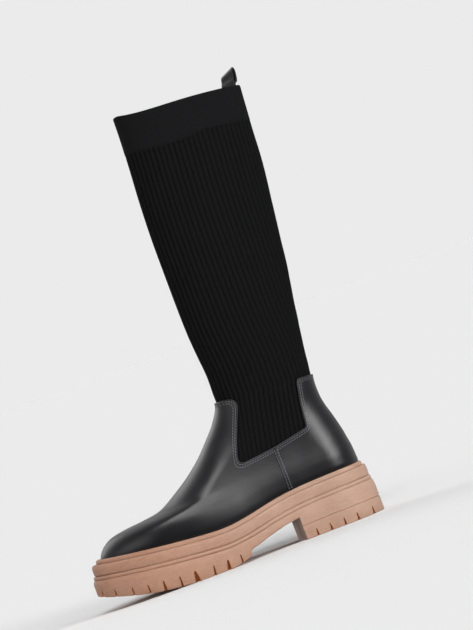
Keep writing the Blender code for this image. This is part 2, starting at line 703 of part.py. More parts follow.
def add_notch_pair(points, faces, share, width, height, slant, reach):
    """A wedge on each side of the tread that narrows upward."""
    x = place_x(share)
    low = underside(x) - CUTTER_SPARE
    high = underside(x) + height
    foot = width * (1 + CUTTER_SPARE / height) / 2
    top = width * NOTCH_TOP
    for inner in (False, True):
        side = 1 if inner else -1
        outside = sole_y(x, WALL_MIDDLE, inner) + side * CUTTER_SPARE
        inside = sole_y(x, WALL_MIDDLE, inner) - side * reach
        start = len(points)
        for y in (outside, inside):
            points.extend([(x - foot, y, low), (x + foot, y, low),
                           (x + slant + top, y, high), (x + slant - top, y, high)])
        ends = [(start, start + 1, start + 2, start + 3), (start + 7, start + 6, start + 5, start + 4)]
        sides = [(start + step, start + 4 + step, start + 4 + (step + 1) % 4, start + (step + 1) % 4)
                 for step in range(4)]
        for face in ends + sides:
            faces.append(face if side < 0 else tuple(reversed(face)))


def make_pull_loop(rings, finish):
    """Folded leather strap: both legs sewn inside the collar, on its inner back quarter."""
    wall = LEATHER_PROUD - LEATHER - GAP - KNIT - BAND_STEP - GAP
    near, far = (offset_point(rings, COLLAR, around, wall) for around in LOOP_SPAN)
    across = Vector((far.x - near.x, far.y - near.y, 0.0)).normalized()
    outward = Vector((across.y, -across.x, 0.0))
    middle = (near + far) / 2
    low_near, low_far = (offset_point(rings, COLLAR - 1, around, wall) for around in LOOP_SPAN)
    low_middle = (low_near + low_far) / 2
    lean = (middle - low_middle) / (middle.z - low_middle.z)
    leg = LOOP_LEATHER / 2
    path = [Vector((leg, -LOOP_DROP)), Vector((leg, 0.0))]
    path += [Vector((inward * LOOP_OPEN, rise * LOOP_STAND)) for inward, rise in LOOP_FOLD]
    path.append(Vector((3 * leg + GAP, -LOOP_DROP)))
    count = len(path)
    left_line = []
    right_line = []
    for index, point in enumerate(path):
        way = (path[min(index + 1, count - 1)] - path[max(index - 1, 0)]).normalized()
        side = Vector((-way.y, way.x)) * leg
        left_line.append(point + side)
        right_line.append(point - side)
    points = []
    for reach in (-0.5, 0.5):
        for line in (left_line, right_line):
            for inward, rise in line:
                rake = -reach * LOOP_RAKE * max(0.0, rise / LOOP_STAND)
                points.append(middle + across * reach * LOOP_WIDTH - outward * inward
                              + lean * rise + Vector((0, 0, rake)))
    faces = []
    for step in range(count - 1):
        a, b, c, d = step, step + count, step + 2 * count, step + 3 * count
        faces.append((a, a + 1, b + 1, b))
        faces.append((c, d, d + 1, c + 1))
        faces.append((a, c, c + 1, a + 1))
        faces.append((b, b + 1, d + 1, d))
    for end, turned in ((0, True), (count - 1, False)):
        face = (end, end + 2 * count, end + 3 * count, end + count)
        faces.append(tuple(reversed(face)) if turned else face)
    return mesh_object("pull_loop", points, faces, finish)


def main():
    clear_scene()
    leather = material("black_leather", (0.021, 0.021, 0.024), 0.42)
    knit = material("black_knit", (0.010, 0.010, 0.011), 0.9)
    rubber = material("tan_rubber", (0.56, 0.36, 0.27), 0.55)
    board = material("insole_cloth", (0.05, 0.05, 0.05), 0.9)
    rings = ring_values()
    make_outsole(rubber)
    make_midsole(even_stations(), rubber)
    make_welt(rings, rubber)
    make_insole(rings, board)
    make_upper(rings, leather)
    make_strips(rings, leather)
    make_shaft(rings, knit)
    make_pull_loop(rings, leather)


main()
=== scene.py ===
# %% [markdown]
# A pull-on boot in three kinds of material: smooth black leather round the foot, a ribbed
# knit tube for the leg and a thick moulded rubber sole. The solids of the boot are loaded
# as a fixed frame. Each piece that shows is then modelled again with a fine surface in the
# same place, and hides the plain solid.

# %% Load the frame
import math

import bmesh
import bpy
from mathutils import Matrix, Vector


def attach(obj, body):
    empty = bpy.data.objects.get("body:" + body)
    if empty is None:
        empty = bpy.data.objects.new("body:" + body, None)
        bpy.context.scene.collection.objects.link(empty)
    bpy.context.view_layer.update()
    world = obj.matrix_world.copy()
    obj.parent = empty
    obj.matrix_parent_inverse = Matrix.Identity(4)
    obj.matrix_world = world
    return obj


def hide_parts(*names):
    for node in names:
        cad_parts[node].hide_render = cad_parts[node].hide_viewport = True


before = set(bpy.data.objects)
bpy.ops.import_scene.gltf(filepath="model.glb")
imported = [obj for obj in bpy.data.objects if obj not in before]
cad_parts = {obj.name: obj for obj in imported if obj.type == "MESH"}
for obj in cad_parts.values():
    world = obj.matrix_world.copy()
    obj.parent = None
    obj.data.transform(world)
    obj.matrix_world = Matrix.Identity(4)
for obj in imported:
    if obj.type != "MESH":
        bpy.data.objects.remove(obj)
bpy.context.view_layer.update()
BODY = "root"
MM = 0.001

# %% [markdown]
# A boot is built round a last, a model of the foot. The leather, the knit and the sole all
# follow it, so the last comes first. It is a stack of rings: each has a front and a back
# seen from the side, a width, and round ends. The rows are shares of a few sizes.

# %% Sizes of the last and the shaft
UPPER_LENGTH = 261.4 * MM
UPPER_BACK = 33.2 * MM
BALL_WIDTH = 86.8 * MM
HEEL_HEIGHT = 51.6 * MM
BALL_HEIGHT = 38.2 * MM
TOE_SPRING = 12 * MM
ANKLE_RISE = 99 * MM
ANKLE_WIDTH = 57 * MM
TOE_SWING = 6 * MM
SHAFT_RISE = 291 * MM
SHAFT_LEAN = 31.2 * MM
COLLAR_WIDTH = 62 * MM
BAND_DEPTH = 40 * MM
COLLAR_SAG = 2.4 * MM
LEATHER = 1.8 * MM
LEATHER_PROUD = 1.1 * MM
KNIT = 2.0 * MM
GAP = 0.3 * MM
LAP = 8 * MM

# %% Tables of the last: feather line, plan, rings of the foot and of the shaft
FEATHER = ((0.0, 1.0), (0.14, 0.96), (0.25, 0.875), (0.33, 0.73), (0.405, 0.45),
           (0.48, 0.15), (0.557, 0.0), (1.1, 0.0))
SPRING_START = 0.557
SPRING_POWER = 1.3
PLAN = ((-0.05, 0.71, 0.71), (0.12, 0.71, 0.71), (0.30, 0.74, 0.69), (0.42, 0.81, 0.70),
        (0.54, 0.94, 0.82), (0.63, 1.01, 0.94), (0.72, 1.00, 0.99), (0.82, 0.95, 0.97),
        (0.92, 0.88, 0.90), (1.10, 0.80, 0.80))
# front, its rise, back, its rise, width, own oval, round front, round back
FOOT = ((1.000, 0.000, 0.000, 0.000, 0.965, 0.00, 0.225, 0.120),
        (0.993, 0.043, -0.001, 0.034, 0.995, 0.00, 0.225, 0.120),
        (0.974, 0.104, 0.000, 0.075, 1.000, 0.00, 0.215, 0.120),
        (0.941, 0.165, 0.001, 0.125, 0.985, 0.03, 0.205, 0.120),
        (0.885, 0.213, 0.003, 0.186, 0.950, 0.07, 0.190, 0.120),
        (0.808, 0.257, 0.008, 0.257, 0.905, 0.12, 0.180, 0.123),
        (0.741, 0.308, 0.013, 0.337, 0.855, 0.20, 0.175, 0.127),
        (0.676, 0.416, 0.021, 0.428, 0.800, 0.30, 0.170, 0.132),
        (0.604, 0.554, 0.030, 0.519, 0.745, 0.45, 0.170, 0.138),
        (0.545, 0.681, 0.039, 0.600, 0.700, 0.60, 0.173, 0.145),
        (0.500, 0.790, 0.046, 0.681, 0.670, 0.75, 0.178, 0.155),
        (0.457, 0.895, 0.049, 0.762, 0.657, 0.88, 0.182, 0.165),
        (0.425, 1.000, 0.049, 0.853, 0.657, 1.00, 0.184, 0.175),
        (0.414, 1.073, 0.046, 0.928, 0.657, 1.00, 0.184, 0.183))
# rise at the front, lean forward, rise at the back, lean backward, width
SHAFT = ((0.034, -0.003, 0.050, 0.061, 0.10), (0.096, -0.013, 0.112, 0.128, 0.25),
         (0.165, 0.042, 0.184, 0.231, 0.40), (0.247, 0.096, 0.266, 0.346, 0.55),
         (0.344, 0.112, 0.366, 0.506, 0.70), (0.464, 0.112, 0.490, 0.651, 0.85),
         (0.584, 0.103, 0.607, 0.795, 0.95), (0.705, 0.058, 0.717, 0.917, 1.00),
         (0.832, -0.022, 0.827, 0.981, 1.00), (0.928, -0.071, 0.912, 1.038, 1.00),
         (1.000, -0.087, 0.978, 1.087, 1.00))
FOOT_TOP = len(FOOT) - 1
COLLAR = FOOT_TOP + len(SHAFT)
# edge of the leather from the side: share of the length, share of the rise, corner radius
LEATHER_EDGE = ((0.510, 1.004, 0.0), (0.335, 1.000, 0.010), (0.401, 0.598, 0.060),
                (0.431, 0.368, 0.011), (0.278, 0.412, 0.060), (0.144, 0.484, 0.0045),
                (0.132, 0.752, 0.060), (0.116, 0.955, 0.005), (-0.045, 0.915, 0.0))


# %% Read a table straight, softly, or between its rows
def interpolate(table, place, column):
    if place <= table[0][0]:
        return table[0][column]
    for low, high in zip(table, table[1:]):
        if place <= high[0]:
            share = (place - low[0]) / (high[0] - low[0])
            return low[column] + (high[column] - low[column]) * share
    return table[-1][column]


def smooth(table, place, column):
    steps = (-0.045, -0.0225, 0.0, 0.0225, 0.045)
    return sum(interpolate(table, place + step, column) for step in steps) / len(steps)


def between_rows(rows, place):
    index = min(int(place), len(rows) - 2)
    share = place - index
    before = rows[max(index - 1, 0)]
    after = rows[min(index + 2, len(rows) - 1)]
    values = []
    for a, b, c, d in zip(before, rows[index], rows[index + 1], after):
        tangent_low = (c - a) / 2
        tangent_high = (d - b) / 2
        curve = (2 * b - 2 * c + tangent_low + tangent_high) * share ** 3
        curve += (3 * c - 3 * b - 2 * tangent_low - tangent_high) * share ** 2
        values.append(curve + tangent_low * share + b)
    return values


# %% Places along the foot and the feather line, where the upper meets the welt
def place_x(share):
    return UPPER_BACK - share * UPPER_LENGTH


def share_at(x):
    return (UPPER_BACK - x) / UPPER_LENGTH


def feather(x):
    share = share_at(x)
    past = max(0.0, (share - SPRING_START) / (1 - SPRING_START))
    extra = smooth(FEATHER, share, 1) * (HEEL_HEIGHT - BALL_HEIGHT)
    return BALL_HEIGHT + extra + TOE_SPRING * past ** SPRING_POWER


def dip(x):
    toe = feather(place_x(1.0))
    heel = feather(place_x(0.0))
    return feather(x) - heel - (toe - heel) * share_at(x)


def swing(share):
    return TOE_SWING * min(max(0.0, (share - 0.5) / 0.5), 1.0) ** 1.5


def close_end(distance, length):
    if distance >= length:
        return 1.0
    return math.sqrt(max(0.0, 1 - (1 - distance / length) ** 2))


# %% The rings in metres, and any point of the last's surface
def ring_values():
    rings = []
    for index, row in enumerate(FOOT):
        front_x = place_x(row[0])
        front_z = feather(front_x) + row[1] * ANKLE_RISE
        ankle = (index / FOOT_TOP) ** 3
        half = row[4] * BALL_WIDTH / 2 * (1 - ankle) + ANKLE_WIDTH / 2 * ankle
        hang = (1 - index / FOOT_TOP) ** 1.5
        rings.append((front_x, front_z, place_x(row[2]), HEEL_HEIGHT + row[3] * ANKLE_RISE, half,
                      row[5], row[6] * UPPER_LENGTH, row[7] * UPPER_LENGTH, hang))
    front, front_rise, back, back_rise = rings[-1][:4]
    for rise_front, forward, rise_back, backward, width in SHAFT:
        front_x = front - forward * SHAFT_LEAN
        back_x = back + backward * SHAFT_LEAN
        half = (ANKLE_WIDTH + (COLLAR_WIDTH - ANKLE_WIDTH) * width) / 2
        depth = (back_x - front_x) / 2
        rings.append((front_x, front_rise + rise_front * SHAFT_RISE, back_x,
                      back_rise + rise_back * SHAFT_RISE, half, 1.0, depth, depth, 0.0))
    return rings


RINGS = ring_values()


def sag(ring, along):
    """How far the collar's rim hangs, fading out two rings below it."""
    near_rim = max(0.0, 1 - (COLLAR - ring) / 2)
    return COLLAR_SAG * near_rim * along * (1 - along) ** 4 / (0.2 * 0.8 ** 4)


def surface(ring, around):
    """around goes 0 at the front, 1 at the back by the outer side, 2 at the front again."""
    front_x, front_z, back_x, back_z, half, own, round_front, round_back, hang = between_rows(RINGS, ring)
    along = (1 - math.cos(math.pi * around)) / 2
    x = front_x + (back_x - front_x) * along
    z = front_z + (back_z - front_z) * along - sag(ring, along)
    if hang:
        z += hang * (dip(x) - dip(front_x) * (1 - along) - dip(back_x) * along)
    outer = around < 1
    share = share_at(x)
    reach = half
    middle = 0.0
    if own < 1:
        plan = smooth(PLAN, share, 1 if outer else 2)
        reach *= plan + (1 - plan) * own
        middle = swing(share) * (1 - own)
    depth = back_x - front_x
    reach *= close_end(x - front_x, min(round_front, depth / 2))
    reach *= close_end(back_x - x, min(round_back, depth / 2))
    return Vector((x, (-reach if outer else reach) + middle, z))


def lifted(ring, around, distance):
    """The surface's point, moved out along the surface's normal."""
    step = 0.004
    top = min(ring + step, COLLAR)
    bottom = max(top - 2 * step, 0.0)
    up = surface(top, around) - surface(bottom, around)
    along = surface(ring, (around + step) % 2) - surface(ring, (around - step) % 2)
    return surface(ring, around) + along.cross(up).normalized() * distance


print("the last has", len(RINGS), "rings, collar at", round(surface(COLLAR, 0).z, 3), "m")


# %% [markdown]
# Sheets are the base of every soft piece here. A grid primitive is added, and each of its
# vertices is moved to its place on the last, as a maker pulls a sheet of leather over it.
# The grid keeps its own UV map, so a pattern can follow the sheet.

# %% Helpers: clear the selection, place a grid, apply modifiers, close seams
def deselect():
    if bpy.context.object and bpy.context.object.mode != "OBJECT":
        bpy.ops.object.mode_set(mode="OBJECT")
    bpy.ops.object.select_all(action="DESELECT")


def grid_sheet(name, across, along, place):
    """A grid with across by along faces. place gives a point from the two shares."""
    deselect()
    bpy.ops.mesh.primitive_grid_add(x_subdivisions=across, y_subdivisions=along, size=2)
    made = bpy.context.object
    made.name = name
    made.data.name = name
    for vertex in made.data.vertices:
        vertex.co = place((vertex.co.x + 1) / 2, (vertex.co.y + 1) / 2)
    made.data.update()
    return made


def edit_all(piece):
    deselect()
    bpy.context.view_layer.objects.active = piece
    piece.select_set(True)
    bpy.ops.object.mode_set(mode="EDIT")
    bpy.ops.mesh.select_all(action="SELECT")


def close_seams(piece, distance=0.00002, outward=False):
    edit_all(piece)
    bpy.ops.mesh.remove_doubles(threshold=distance)
    if outward:
        bpy.ops.mesh.normals_make_consistent(inside=False)
    bpy.ops.object.mode_set(mode="OBJECT")


def apply_all(piece):
    deselect()
    bpy.context.view_layer.objects.active = piece
    piece.select_set(True)
    for modifier in list(piece.modifiers):
        bpy.ops.object.modifier_apply(modifier=modifier.name)


def join(name, parts):
    deselect()
    for part in parts:
        part.select_set(True)
    bpy.context.view_layer.objects.active = parts[0]
    if len(parts) > 1:
        bpy.ops.object.join()
    parts[0].name = name
    return parts[0]


def cut_away(piece, cutter):
    modifier = piece.modifiers.new("cut", "BOOLEAN")
    modifier.operation = "DIFFERENCE"
    modifier.solver = "EXACT"
    modifier.object = cutter
    apply_all(piece)
    bpy.data.objects.remove(cutter, do_unlink=True)


def thicken(piece, thickness, offset):
    wall = piece.modifiers.new("wall", "SOLIDIFY")
    wall.thickness = thickness
    wall.offset = offset
    wall.use_even_offset = False
    apply_all(piece)


def finish_piece(piece, material, slot, *nodes, angle=40):
    piece.data.materials.clear()
    piece.data.materials.append(material)
    deselect()
    bpy.context.view_layer.objects.active = piece
    piece.select_set(True)
    bpy.ops.object.shade_smooth_by_angle(angle=math.radians(angle))
    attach(piece, BODY)
    if nodes:
        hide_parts(*nodes)
    print(piece.name, len(piece.data.polygons), "faces")


# %% [markdown]
# Finishes are node materials. Shader maths reads best as plain expressions, so a small class
# wraps a socket and turns each operator into a Math node. One method makes all other nodes.

# %% Shader maths as expressions
class Wire:
    def __init__(self, finish, socket):
        self.finish = finish
        self.socket = socket

    def math(self, operation, *others):
        return self.finish.node("ShaderNodeMath", {"operation": operation},
                                {index: value for index, value in enumerate((self,) + others)})

    def __add__(self, other):
        return self.math("ADD", other)

    def __radd__(self, other):
        return self.math("ADD", other)

    def __sub__(self, other):
        return self.math("SUBTRACT", other)

    def __rsub__(self, other):
        return (self * -1).math("ADD", other)

    def __mul__(self, other):
        return self.math("MULTIPLY", other)

    def __rmul__(self, other):
        return self.math("MULTIPLY", other)

    def sin(self):
        return self.math("SINE")

    def cos(self):
        return self.math("COSINE")

    def greater_of(self, other):
        return self.math("MAXIMUM", other)

    def absolute(self):
        return self.math("ABSOLUTE")

    def power(self, exponent):
        return self.math("POWER", exponent)

    def between(self, low, high):
        """0 at low, 1 at high, soft in between."""
        return self.finish.node("ShaderNodeMapRange", {"interpolation_type": "SMOOTHSTEP"},
                                {"Value": self, "From Min": low, "From Max": high})


# %% A finish: one material with one shader
class Finish:
    def __init__(self, name):
        self.material = bpy.data.materials.new(name)
        self.material.use_nodes = True
        self.tree = self.material.node_tree
        self.shader = self.tree.nodes["Principled BSDF"]
        self.coordinates = self.tree.nodes.new("ShaderNodeTexCoord")

    def set(self, **constants):
        for name, value in constants.items():
            self.shader.inputs[name.replace("_", " ")].default_value = value

    def put(self, name, wire):
        self.tree.links.new(wire.socket, self.shader.inputs[name])

    def node(self, kind, settings, inputs, output=0):
        made = self.tree.nodes.new(kind)
        for name, value in settings.items():
            setattr(made, name, value)
        for name, value in inputs.items():
            if isinstance(value, Wire):
                self.tree.links.new(value.socket, made.inputs[name])
            else:
                made.inputs[name].default_value = value
        return Wire(self, made.outputs[output])

    def place(self, kind="Object"):
        return Wire(self, self.coordinates.outputs[kind])

    def split(self, vector):
        made = self.tree.nodes.new("ShaderNodeSeparateXYZ")
        self.tree.links.new(vector.socket, made.inputs[0])
        return [Wire(self, output) for output in made.outputs]

    def noise(self, scale, detail=3.0, roughness=0.5, vector=None):
        return self.node("ShaderNodeTexNoise", {}, {"Vector": vector or self.place(), "Scale": scale,
                                                    "Detail": detail, "Roughness": roughness})

    def stretched(self, x, y, z):
        return self.node("ShaderNodeMapping", {}, {"Vector": self.place(), "Scale": (x, y, z)})

    def attribute(self, name):
        return self.node("ShaderNodeAttribute", {"attribute_name": name}, {}, 2)

    def cells(self, scale):
        return self.node("ShaderNodeTexVoronoi", {}, {"Vector": self.place(), "Scale": scale})

    def mix(self, share, first, second):
        made = self.tree.nodes.new("ShaderNodeMix")
        made.data_type = "RGBA"
        kinds = {"Factor": "VALUE", "A": "RGBA", "B": "RGBA"}
        for name, value in (("Factor", share), ("A", first), ("B", second)):
            slot = [slot for slot in made.inputs if slot.name == name and slot.type == kinds[name]][0]
            if isinstance(value, Wire):
                self.tree.links.new(value.socket, slot)
            else:
                slot.default_value = value if name == "Factor" else (*value, 1.0)
        return Wire(self, [slot for slot in made.outputs if slot.type == "RGBA"][0])

    def bump(self, height, distance, strength=1.0, normal=None):
        inputs = {"Height": height, "Distance": distance, "Strength": strength}
        if normal:
            inputs["Normal"] = normal
        return self.node("ShaderNodeBump", {}, inputs)


# %% [markdown]
# The leather is smooth and black with a soft sheen. Its grain is fine: small cells that
# only show where light grazes it. It is a little duller and lighter where it is rubbed,
# so roughness and colour both wander a little.

# %% Leather
def leather_finish():
    finish = Finish("black_leather")
    grain = finish.cells(1100.0)
    fine = finish.noise(2600.0, 2.0)
    wave = finish.noise(48.0, 3.0)
    wander = finish.noise(24.0, 4.0, 0.6)
    tone = wander.between(0.35, 0.75)
    finish.put("Base Color", finish.mix(tone, (0.0060, 0.0060, 0.0074), (0.0100, 0.0100, 0.0120)))
    finish.put("Roughness", 0.31 + 0.07 * tone + 0.05 * fine)
    finish.set(Specular_IOR_Level=0.5)
    skin = finish.bump(grain, 0.00012, 0.5)
    pores = finish.bump(fine, 0.00006, 0.45, skin)
    finish.put("Normal", finish.bump(wave, 0.0007, 0.35, pores))
    return finish.material


# %% [markdown]
# The knit takes almost no light. Its ribs are modelled, and the loops of its yarn are a
# bump on the sheet's own UV map: columns of small slanted stitches that follow the ribs.

# %% Knit
STITCH_ACROSS = 1.25 * MM
STITCH_ALONG = 0.95 * MM
RIB_PITCH = 5.0 * MM


def knit_finish():
    """The UV map holds metres: round the leg from its front line, and up from the band's edge."""
    finish = Finish("black_knit")
    across, along, _ = finish.split(finish.place("UV"))
    column = (across * (1 / STITCH_ACROSS)).math("FRACT")
    lean = (column - 0.5).absolute()
    row = (along * (1 / STITCH_ALONG) + lean * 1.1).math("FRACT")
    loop = (row * math.pi).sin() * (column * math.pi).sin().power(0.6)
    fuzz = finish.noise(1500.0, 3.0, 0.6)
    tone = finish.noise(40.0, 3.0)
    yarn = loop * 0.75 + fuzz * 0.25
    # Painted shade: the grooves between the ribs are painted darker, partly as shade and partly as the
    # darker purl loops.
    rib = (across * (math.pi / RIB_PITCH)).cos().absolute().between(0.10, 0.48)
    face = (rib * 0.78).greater_of(along.between(-0.0004, 0.0004))
    lit = yarn.between(0.1, 0.9) * face
    finish.put("Base Color", finish.mix(lit, (0.0006, 0.0006, 0.0007), (0.0145, 0.0151, 0.0162)))
    finish.put("Roughness", 0.86 + 0.1 * tone)
    finish.set(Specular_IOR_Level=0.08)
    finish.put("Normal", finish.bump(yarn, 0.0003, 0.7))
    return finish.material


# %% [markdown]
# The rubber is tan and a little translucent. Its colour holds painted shade and light: it is
# painted darker and warmer low down as shade near the floor, painted lighter and orange with a
# painted glow on the sides of the cuts, and painted darker toward the toe as shade, lighter at the
# heel as painted light. The surface is matt, brushed along its length and slightly pitted.

# %% Rubber
def rubber_finish():
    finish = Finish("tan_rubber")
    along, _, height = finish.split(finish.place())
    # Painted shade and light: the rubber is painted darker toward the toe and lighter at the heel, a shaded
    # and a lit copy of one tan.
    toe_shade_share = ((along - place_x(0.1)) * (1 / (place_x(0.95) - place_x(0.1)))).between(0.0, 1.0)
    cloud = finish.noise(26.0, 3.0, 0.5)
    brushed = finish.noise(900.0, 3.0, 0.6, finish.stretched(0.10, 0.10, 1.0))
    speck = finish.noise(420.0, 3.0, 0.7)
    pit = finish.noise(1300.0, 2.0)
    tone = (cloud * 0.35 + brushed * 0.35 + speck * 0.30).between(0.34, 0.66)
    heel_painted_light = finish.mix(tone, (0.352, 0.212, 0.147), (0.440, 0.286, 0.212))
    toe_painted_shade = finish.mix(tone, (0.325, 0.166, 0.104), (0.410, 0.226, 0.152))
    plain = finish.mix(toe_shade_share, heel_painted_light, toe_painted_shade)
    # Painted shade: the rubber is painted darker and warmer in its lowest 16 mm, near the floor.
    low = 1 - height.between(0.0, 0.016)
    shaded = finish.mix(low * 0.25, plain, (0.34, 0.18, 0.115))
    # Painted light: the sides of the cuts are painted lighter and orange, and given a painted glow by
    # emission.
    cut_painted_glow = finish.attribute("cut_painted_glow")
    finish.put("Base Color", finish.mix(cut_painted_glow, shaded, (0.58, 0.26, 0.09)))
    finish.put("Emission Color", finish.mix(cut_painted_glow, (0.0, 0.0, 0.0), (0.055, 0.022, 0.007)))
    finish.put("Roughness", 0.52 + 0.14 * speck)
    finish.set(Specular_IOR_Level=0.38, Subsurface_Weight=0.08, Emission_Strength=1.0)
    finish.shader.inputs["Subsurface Radius"].default_value = (1.0, 0.5, 0.3)
    finish.shader.inputs["Subsurface Scale"].default_value = 0.003
    finish.put("Normal", finish.bump(pit, 0.00012, 0.5, finish.bump(brushed, 0.00025, 0.3)))
    return finish.material


def thread_finish():
    finish = Finish("black_thread")
    twist = finish.noise(3000.0, 2.0)
    finish.put("Base Color", finish.mix(twist, (0.10, 0.10, 0.105), (0.22, 0.22, 0.23)))
    finish.put("Roughness", 0.35 + 0.2 * twist)
    return finish.material


def lining_finish():
    finish = Finish("insole_cloth")
    weave = finish.noise(900.0, 2.0)
    finish.put("Base Color", finish.mix(weave, (0.02, 0.02, 0.021), (0.05, 0.05, 0.052)))
    finish.put("Roughness", 0.8 + 0.15 * weave)
    finish.put("Normal", finish.bump(weave, 0.0002, 0.5))
    return finish.material


LEATHER_FINISH = leather_finish()
KNIT_FINISH = knit_finish()
RUBBER_FINISH = rubber_finish()
THREAD_FINISH = thread_finish()
LINING_FINISH = lining_finish()


# %% [markdown]
# The leather's edge runs over the instep, down into a deep cut-out on each side and up to a
# tab at the back. Its outline is a list of corners with radii, seen from the side.

# %% The edge's outline, moved into the leather by a distance
CORNER_STEPS = 8


def edge_outline(shift):
    corners = [Vector((place_x(share), HEEL_HEIGHT + rise * ANKLE_RISE)) for share, rise, _ in LEATHER_EDGE]
    lines = []
    for start, end in zip(corners, corners[1:]):
        direction = (end - start).normalized()
        normal = Vector((direction.y, -direction.x))
        lines.append((start + normal * shift, end + normal * shift))
    moved = [lines[0][0]]
    for first, second in zip(lines, lines[1:]):
        way = first[1] - first[0]
        other = second[1] - second[0]
        offset = second[0] - first[0]
        cross = way.x * other.y - way.y * other.x
        moved.append(first[0] + way * ((offset.x * other.y - offset.y * other.x) / cross))
    moved.append(lines[-1][1])
    outline = [moved[0]]
    radii = [radius for _, _, radius in LEATHER_EDGE]
    for before, corner, after, radius in zip(moved, moved[1:], moved[2:], radii[1:]):
        way_in = (before - corner).normalized()
        way_out = (after - corner).normalized()
        turn = math.acos(max(-1.0, min(1.0, way_in.dot(way_out))))
        inside = (way_in.x * way_out.y - way_in.y * way_out.x) < 0
        own = max(0.001, radius + (shift if inside else -shift))
        room = min((before - corner).length, (after - corner).length) * 0.45
        reach = min(own / math.tan(turn / 2), room)
        start = corner + way_in * reach
        end = corner + way_out * reach
        for step in range(CORNER_STEPS):
            share = step / (CORNER_STEPS - 1)
            outline.append(start * (1 - share) ** 2 + corner * 2 * share * (1 - share) + end * share ** 2)
    outline.append(moved[-1])
    return outline


# %% Find a point of the side view on the last
def ring_at(x, z):
    """Ring and around value of the outer side where it shows at x and z. Past the ring's
    front or back the end of the ring is taken."""
    low = 0.0
    high = COLLAR
    for _ in range(26):
        ring = (low + high) / 2
        front_x, _, back_x = between_rows(RINGS, ring)[:3]
        along = min(1.0, max(0.0, (x - front_x) / (back_x - front_x)))
        around = math.acos(1 - 2 * along) / math.pi
        if surface(ring, around).z < z:
            low = ring
        else:
            high = ring
    return ring, around


def on_side(x, z, inner, lift):
    ring, around = ring_at(x, z)
    return lifted(ring, 2 - around if inner else around, lift)


def even_points(points, pitch):
    """Points a pitch apart along a line."""
    lengths = [0.0]
    for first, second in zip(points, points[1:]):
        lengths.append(lengths[-1] + (second - first).length)
    count = max(2, round(lengths[-1] / pitch))
    even = []
    index = 0
    for step in range(count + 1):
        wanted = lengths[-1] * step / count
        while index < len(lengths) - 2 and lengths[index + 1] < wanted:
            index += 1
        span = lengths[index + 1] - lengths[index]
        share = (wanted - lengths[index]) / span if span else 0.0
        even.append(points[index].lerp(points[index + 1], min(1.0, share)))
    return even


def edge_path(shift, pitch):
    """The edge in the XZ plane from the instep's ridge to the back seam, in even steps."""
    path = []
    for point in even_points(edge_outline(shift), pitch):
        ring, around = ring_at(point.x, point.y)
        if 0.0005 < around < 0.9995:
            path.append(point)
    return path


# %% [markdown]
# The upper is one wall of leather, 1.8 mm thick, open under the foot. The sheet is lofted
# over the last, given its creases, thickened, and cut along the edge with a prism.

# %% Creases: soft troughs in the shoe's own sizes, from the side view
# start and end as share of the length and share of the ankle's rise, half width, depth
CREASES = ((0.585, 0.30, 0.500, 0.60, 0.0060, 0.00012), (0.640, 0.20, 0.560, 0.42, 0.0050, 0.00010),
           (0.500, 0.30, 0.455, 0.62, 0.0070, 0.00014), (0.430, 0.16, 0.400, 0.30, 0.0060, 0.00010),
           (0.215, 0.22, 0.165, 0.40, 0.0080, 0.00008), (0.700, 0.12, 0.640, 0.30, 0.0050, 0.00008))


def crease_depth(point):
    place = Vector((share_at(point.x) * UPPER_LENGTH, (point.z - HEEL_HEIGHT)))
    total = 0.0
    for share_a, rise_a, share_b, rise_b, half, depth in CREASES:
        start = Vector((share_a * UPPER_LENGTH, rise_a * ANKLE_RISE))
        end = Vector((share_b * UPPER_LENGTH, rise_b * ANKLE_RISE))
        way = end - start
        along = max(0.0, min(1.0, (place - start).dot(way) / way.length_squared))
        away = (place - start - way * along).length / half
        total += depth * math.exp(-away * away) * math.sin(math.pi * min(1.0, 0.15 + along * 0.7))
    return total


# %% The leather wall
UPPER_ACROSS = 260
UPPER_ALONG = 84
UPPER_TOP_RING = 13.7
UPPER_SKIRT = 3.7 * MM
# the cutter's top, its half width and its reach past the toe, in metres
CUTTER_TOP = 0.5
CUTTER_HALF = 0.1
CUTTER_PAST = 0.2


def upper_place(across, along):
    around = across * 2 % 2
    if along * UPPER_ALONG < 1:
        point = surface(0.0, around)
        return Vector((point.x, point.y, feather(point.x) - UPPER_SKIRT))
    ring = (along * UPPER_ALONG - 1) / (UPPER_ALONG - 1) * UPPER_TOP_RING
    return surface(ring, around)


def push_out(piece, amount):
    """Moves each vertex out along its normal by what amount gives for it."""
    normals = [vertex.normal.copy() for vertex in piece.data.vertices]
    for vertex, normal in zip(piece.data.vertices, normals):
        vertex.co += normal * amount(vertex.co)
    piece.data.update()


def edge_cutter():
    """A prism across the boot: the space above the edge."""
    outline = [(point.x, point.y) for point in edge_outline(0.0)]
    past = outline[0][0] - CUTTER_PAST
    outline += [(outline[-1][0], CUTTER_TOP), (past, CUTTER_TOP), (past, outline[0][1])]
    mesh = bpy.data.meshes.new("edge_cutter")
    build = bmesh.new()
    near = [build.verts.new((x, -CUTTER_HALF, z)) for x, z in outline]
    face = build.faces.new(near)
    pulled = bmesh.ops.extrude_face_region(build, geom=[face])
    moved = [item for item in pulled["geom"] if isinstance(item, bmesh.types.BMVert)]
    bmesh.ops.translate(build, verts=moved, vec=(0, 2 * CUTTER_HALF, 0))
    bmesh.ops.recalc_face_normals(build, faces=build.faces)
    build.to_mesh(mesh)
    build.free()
    cutter = bpy.data.objects.new("edge_cutter", mesh)
    bpy.context.collection.objects.link(cutter)
    return cutter


def make_upper():
    piece = grid_sheet("boot_upper", UPPER_ACROSS, UPPER_ALONG, upper_place)
    close_seams(piece)
    push_out(piece, lambda point: LEATHER_PROUD - crease_depth(point))
    thicken(piece, LEATHER, -1.0)
    cut_away(piece, edge_cutter())
    finish_piece(piece, LEATHER_FINISH, "leather", "upper")


make_upper()


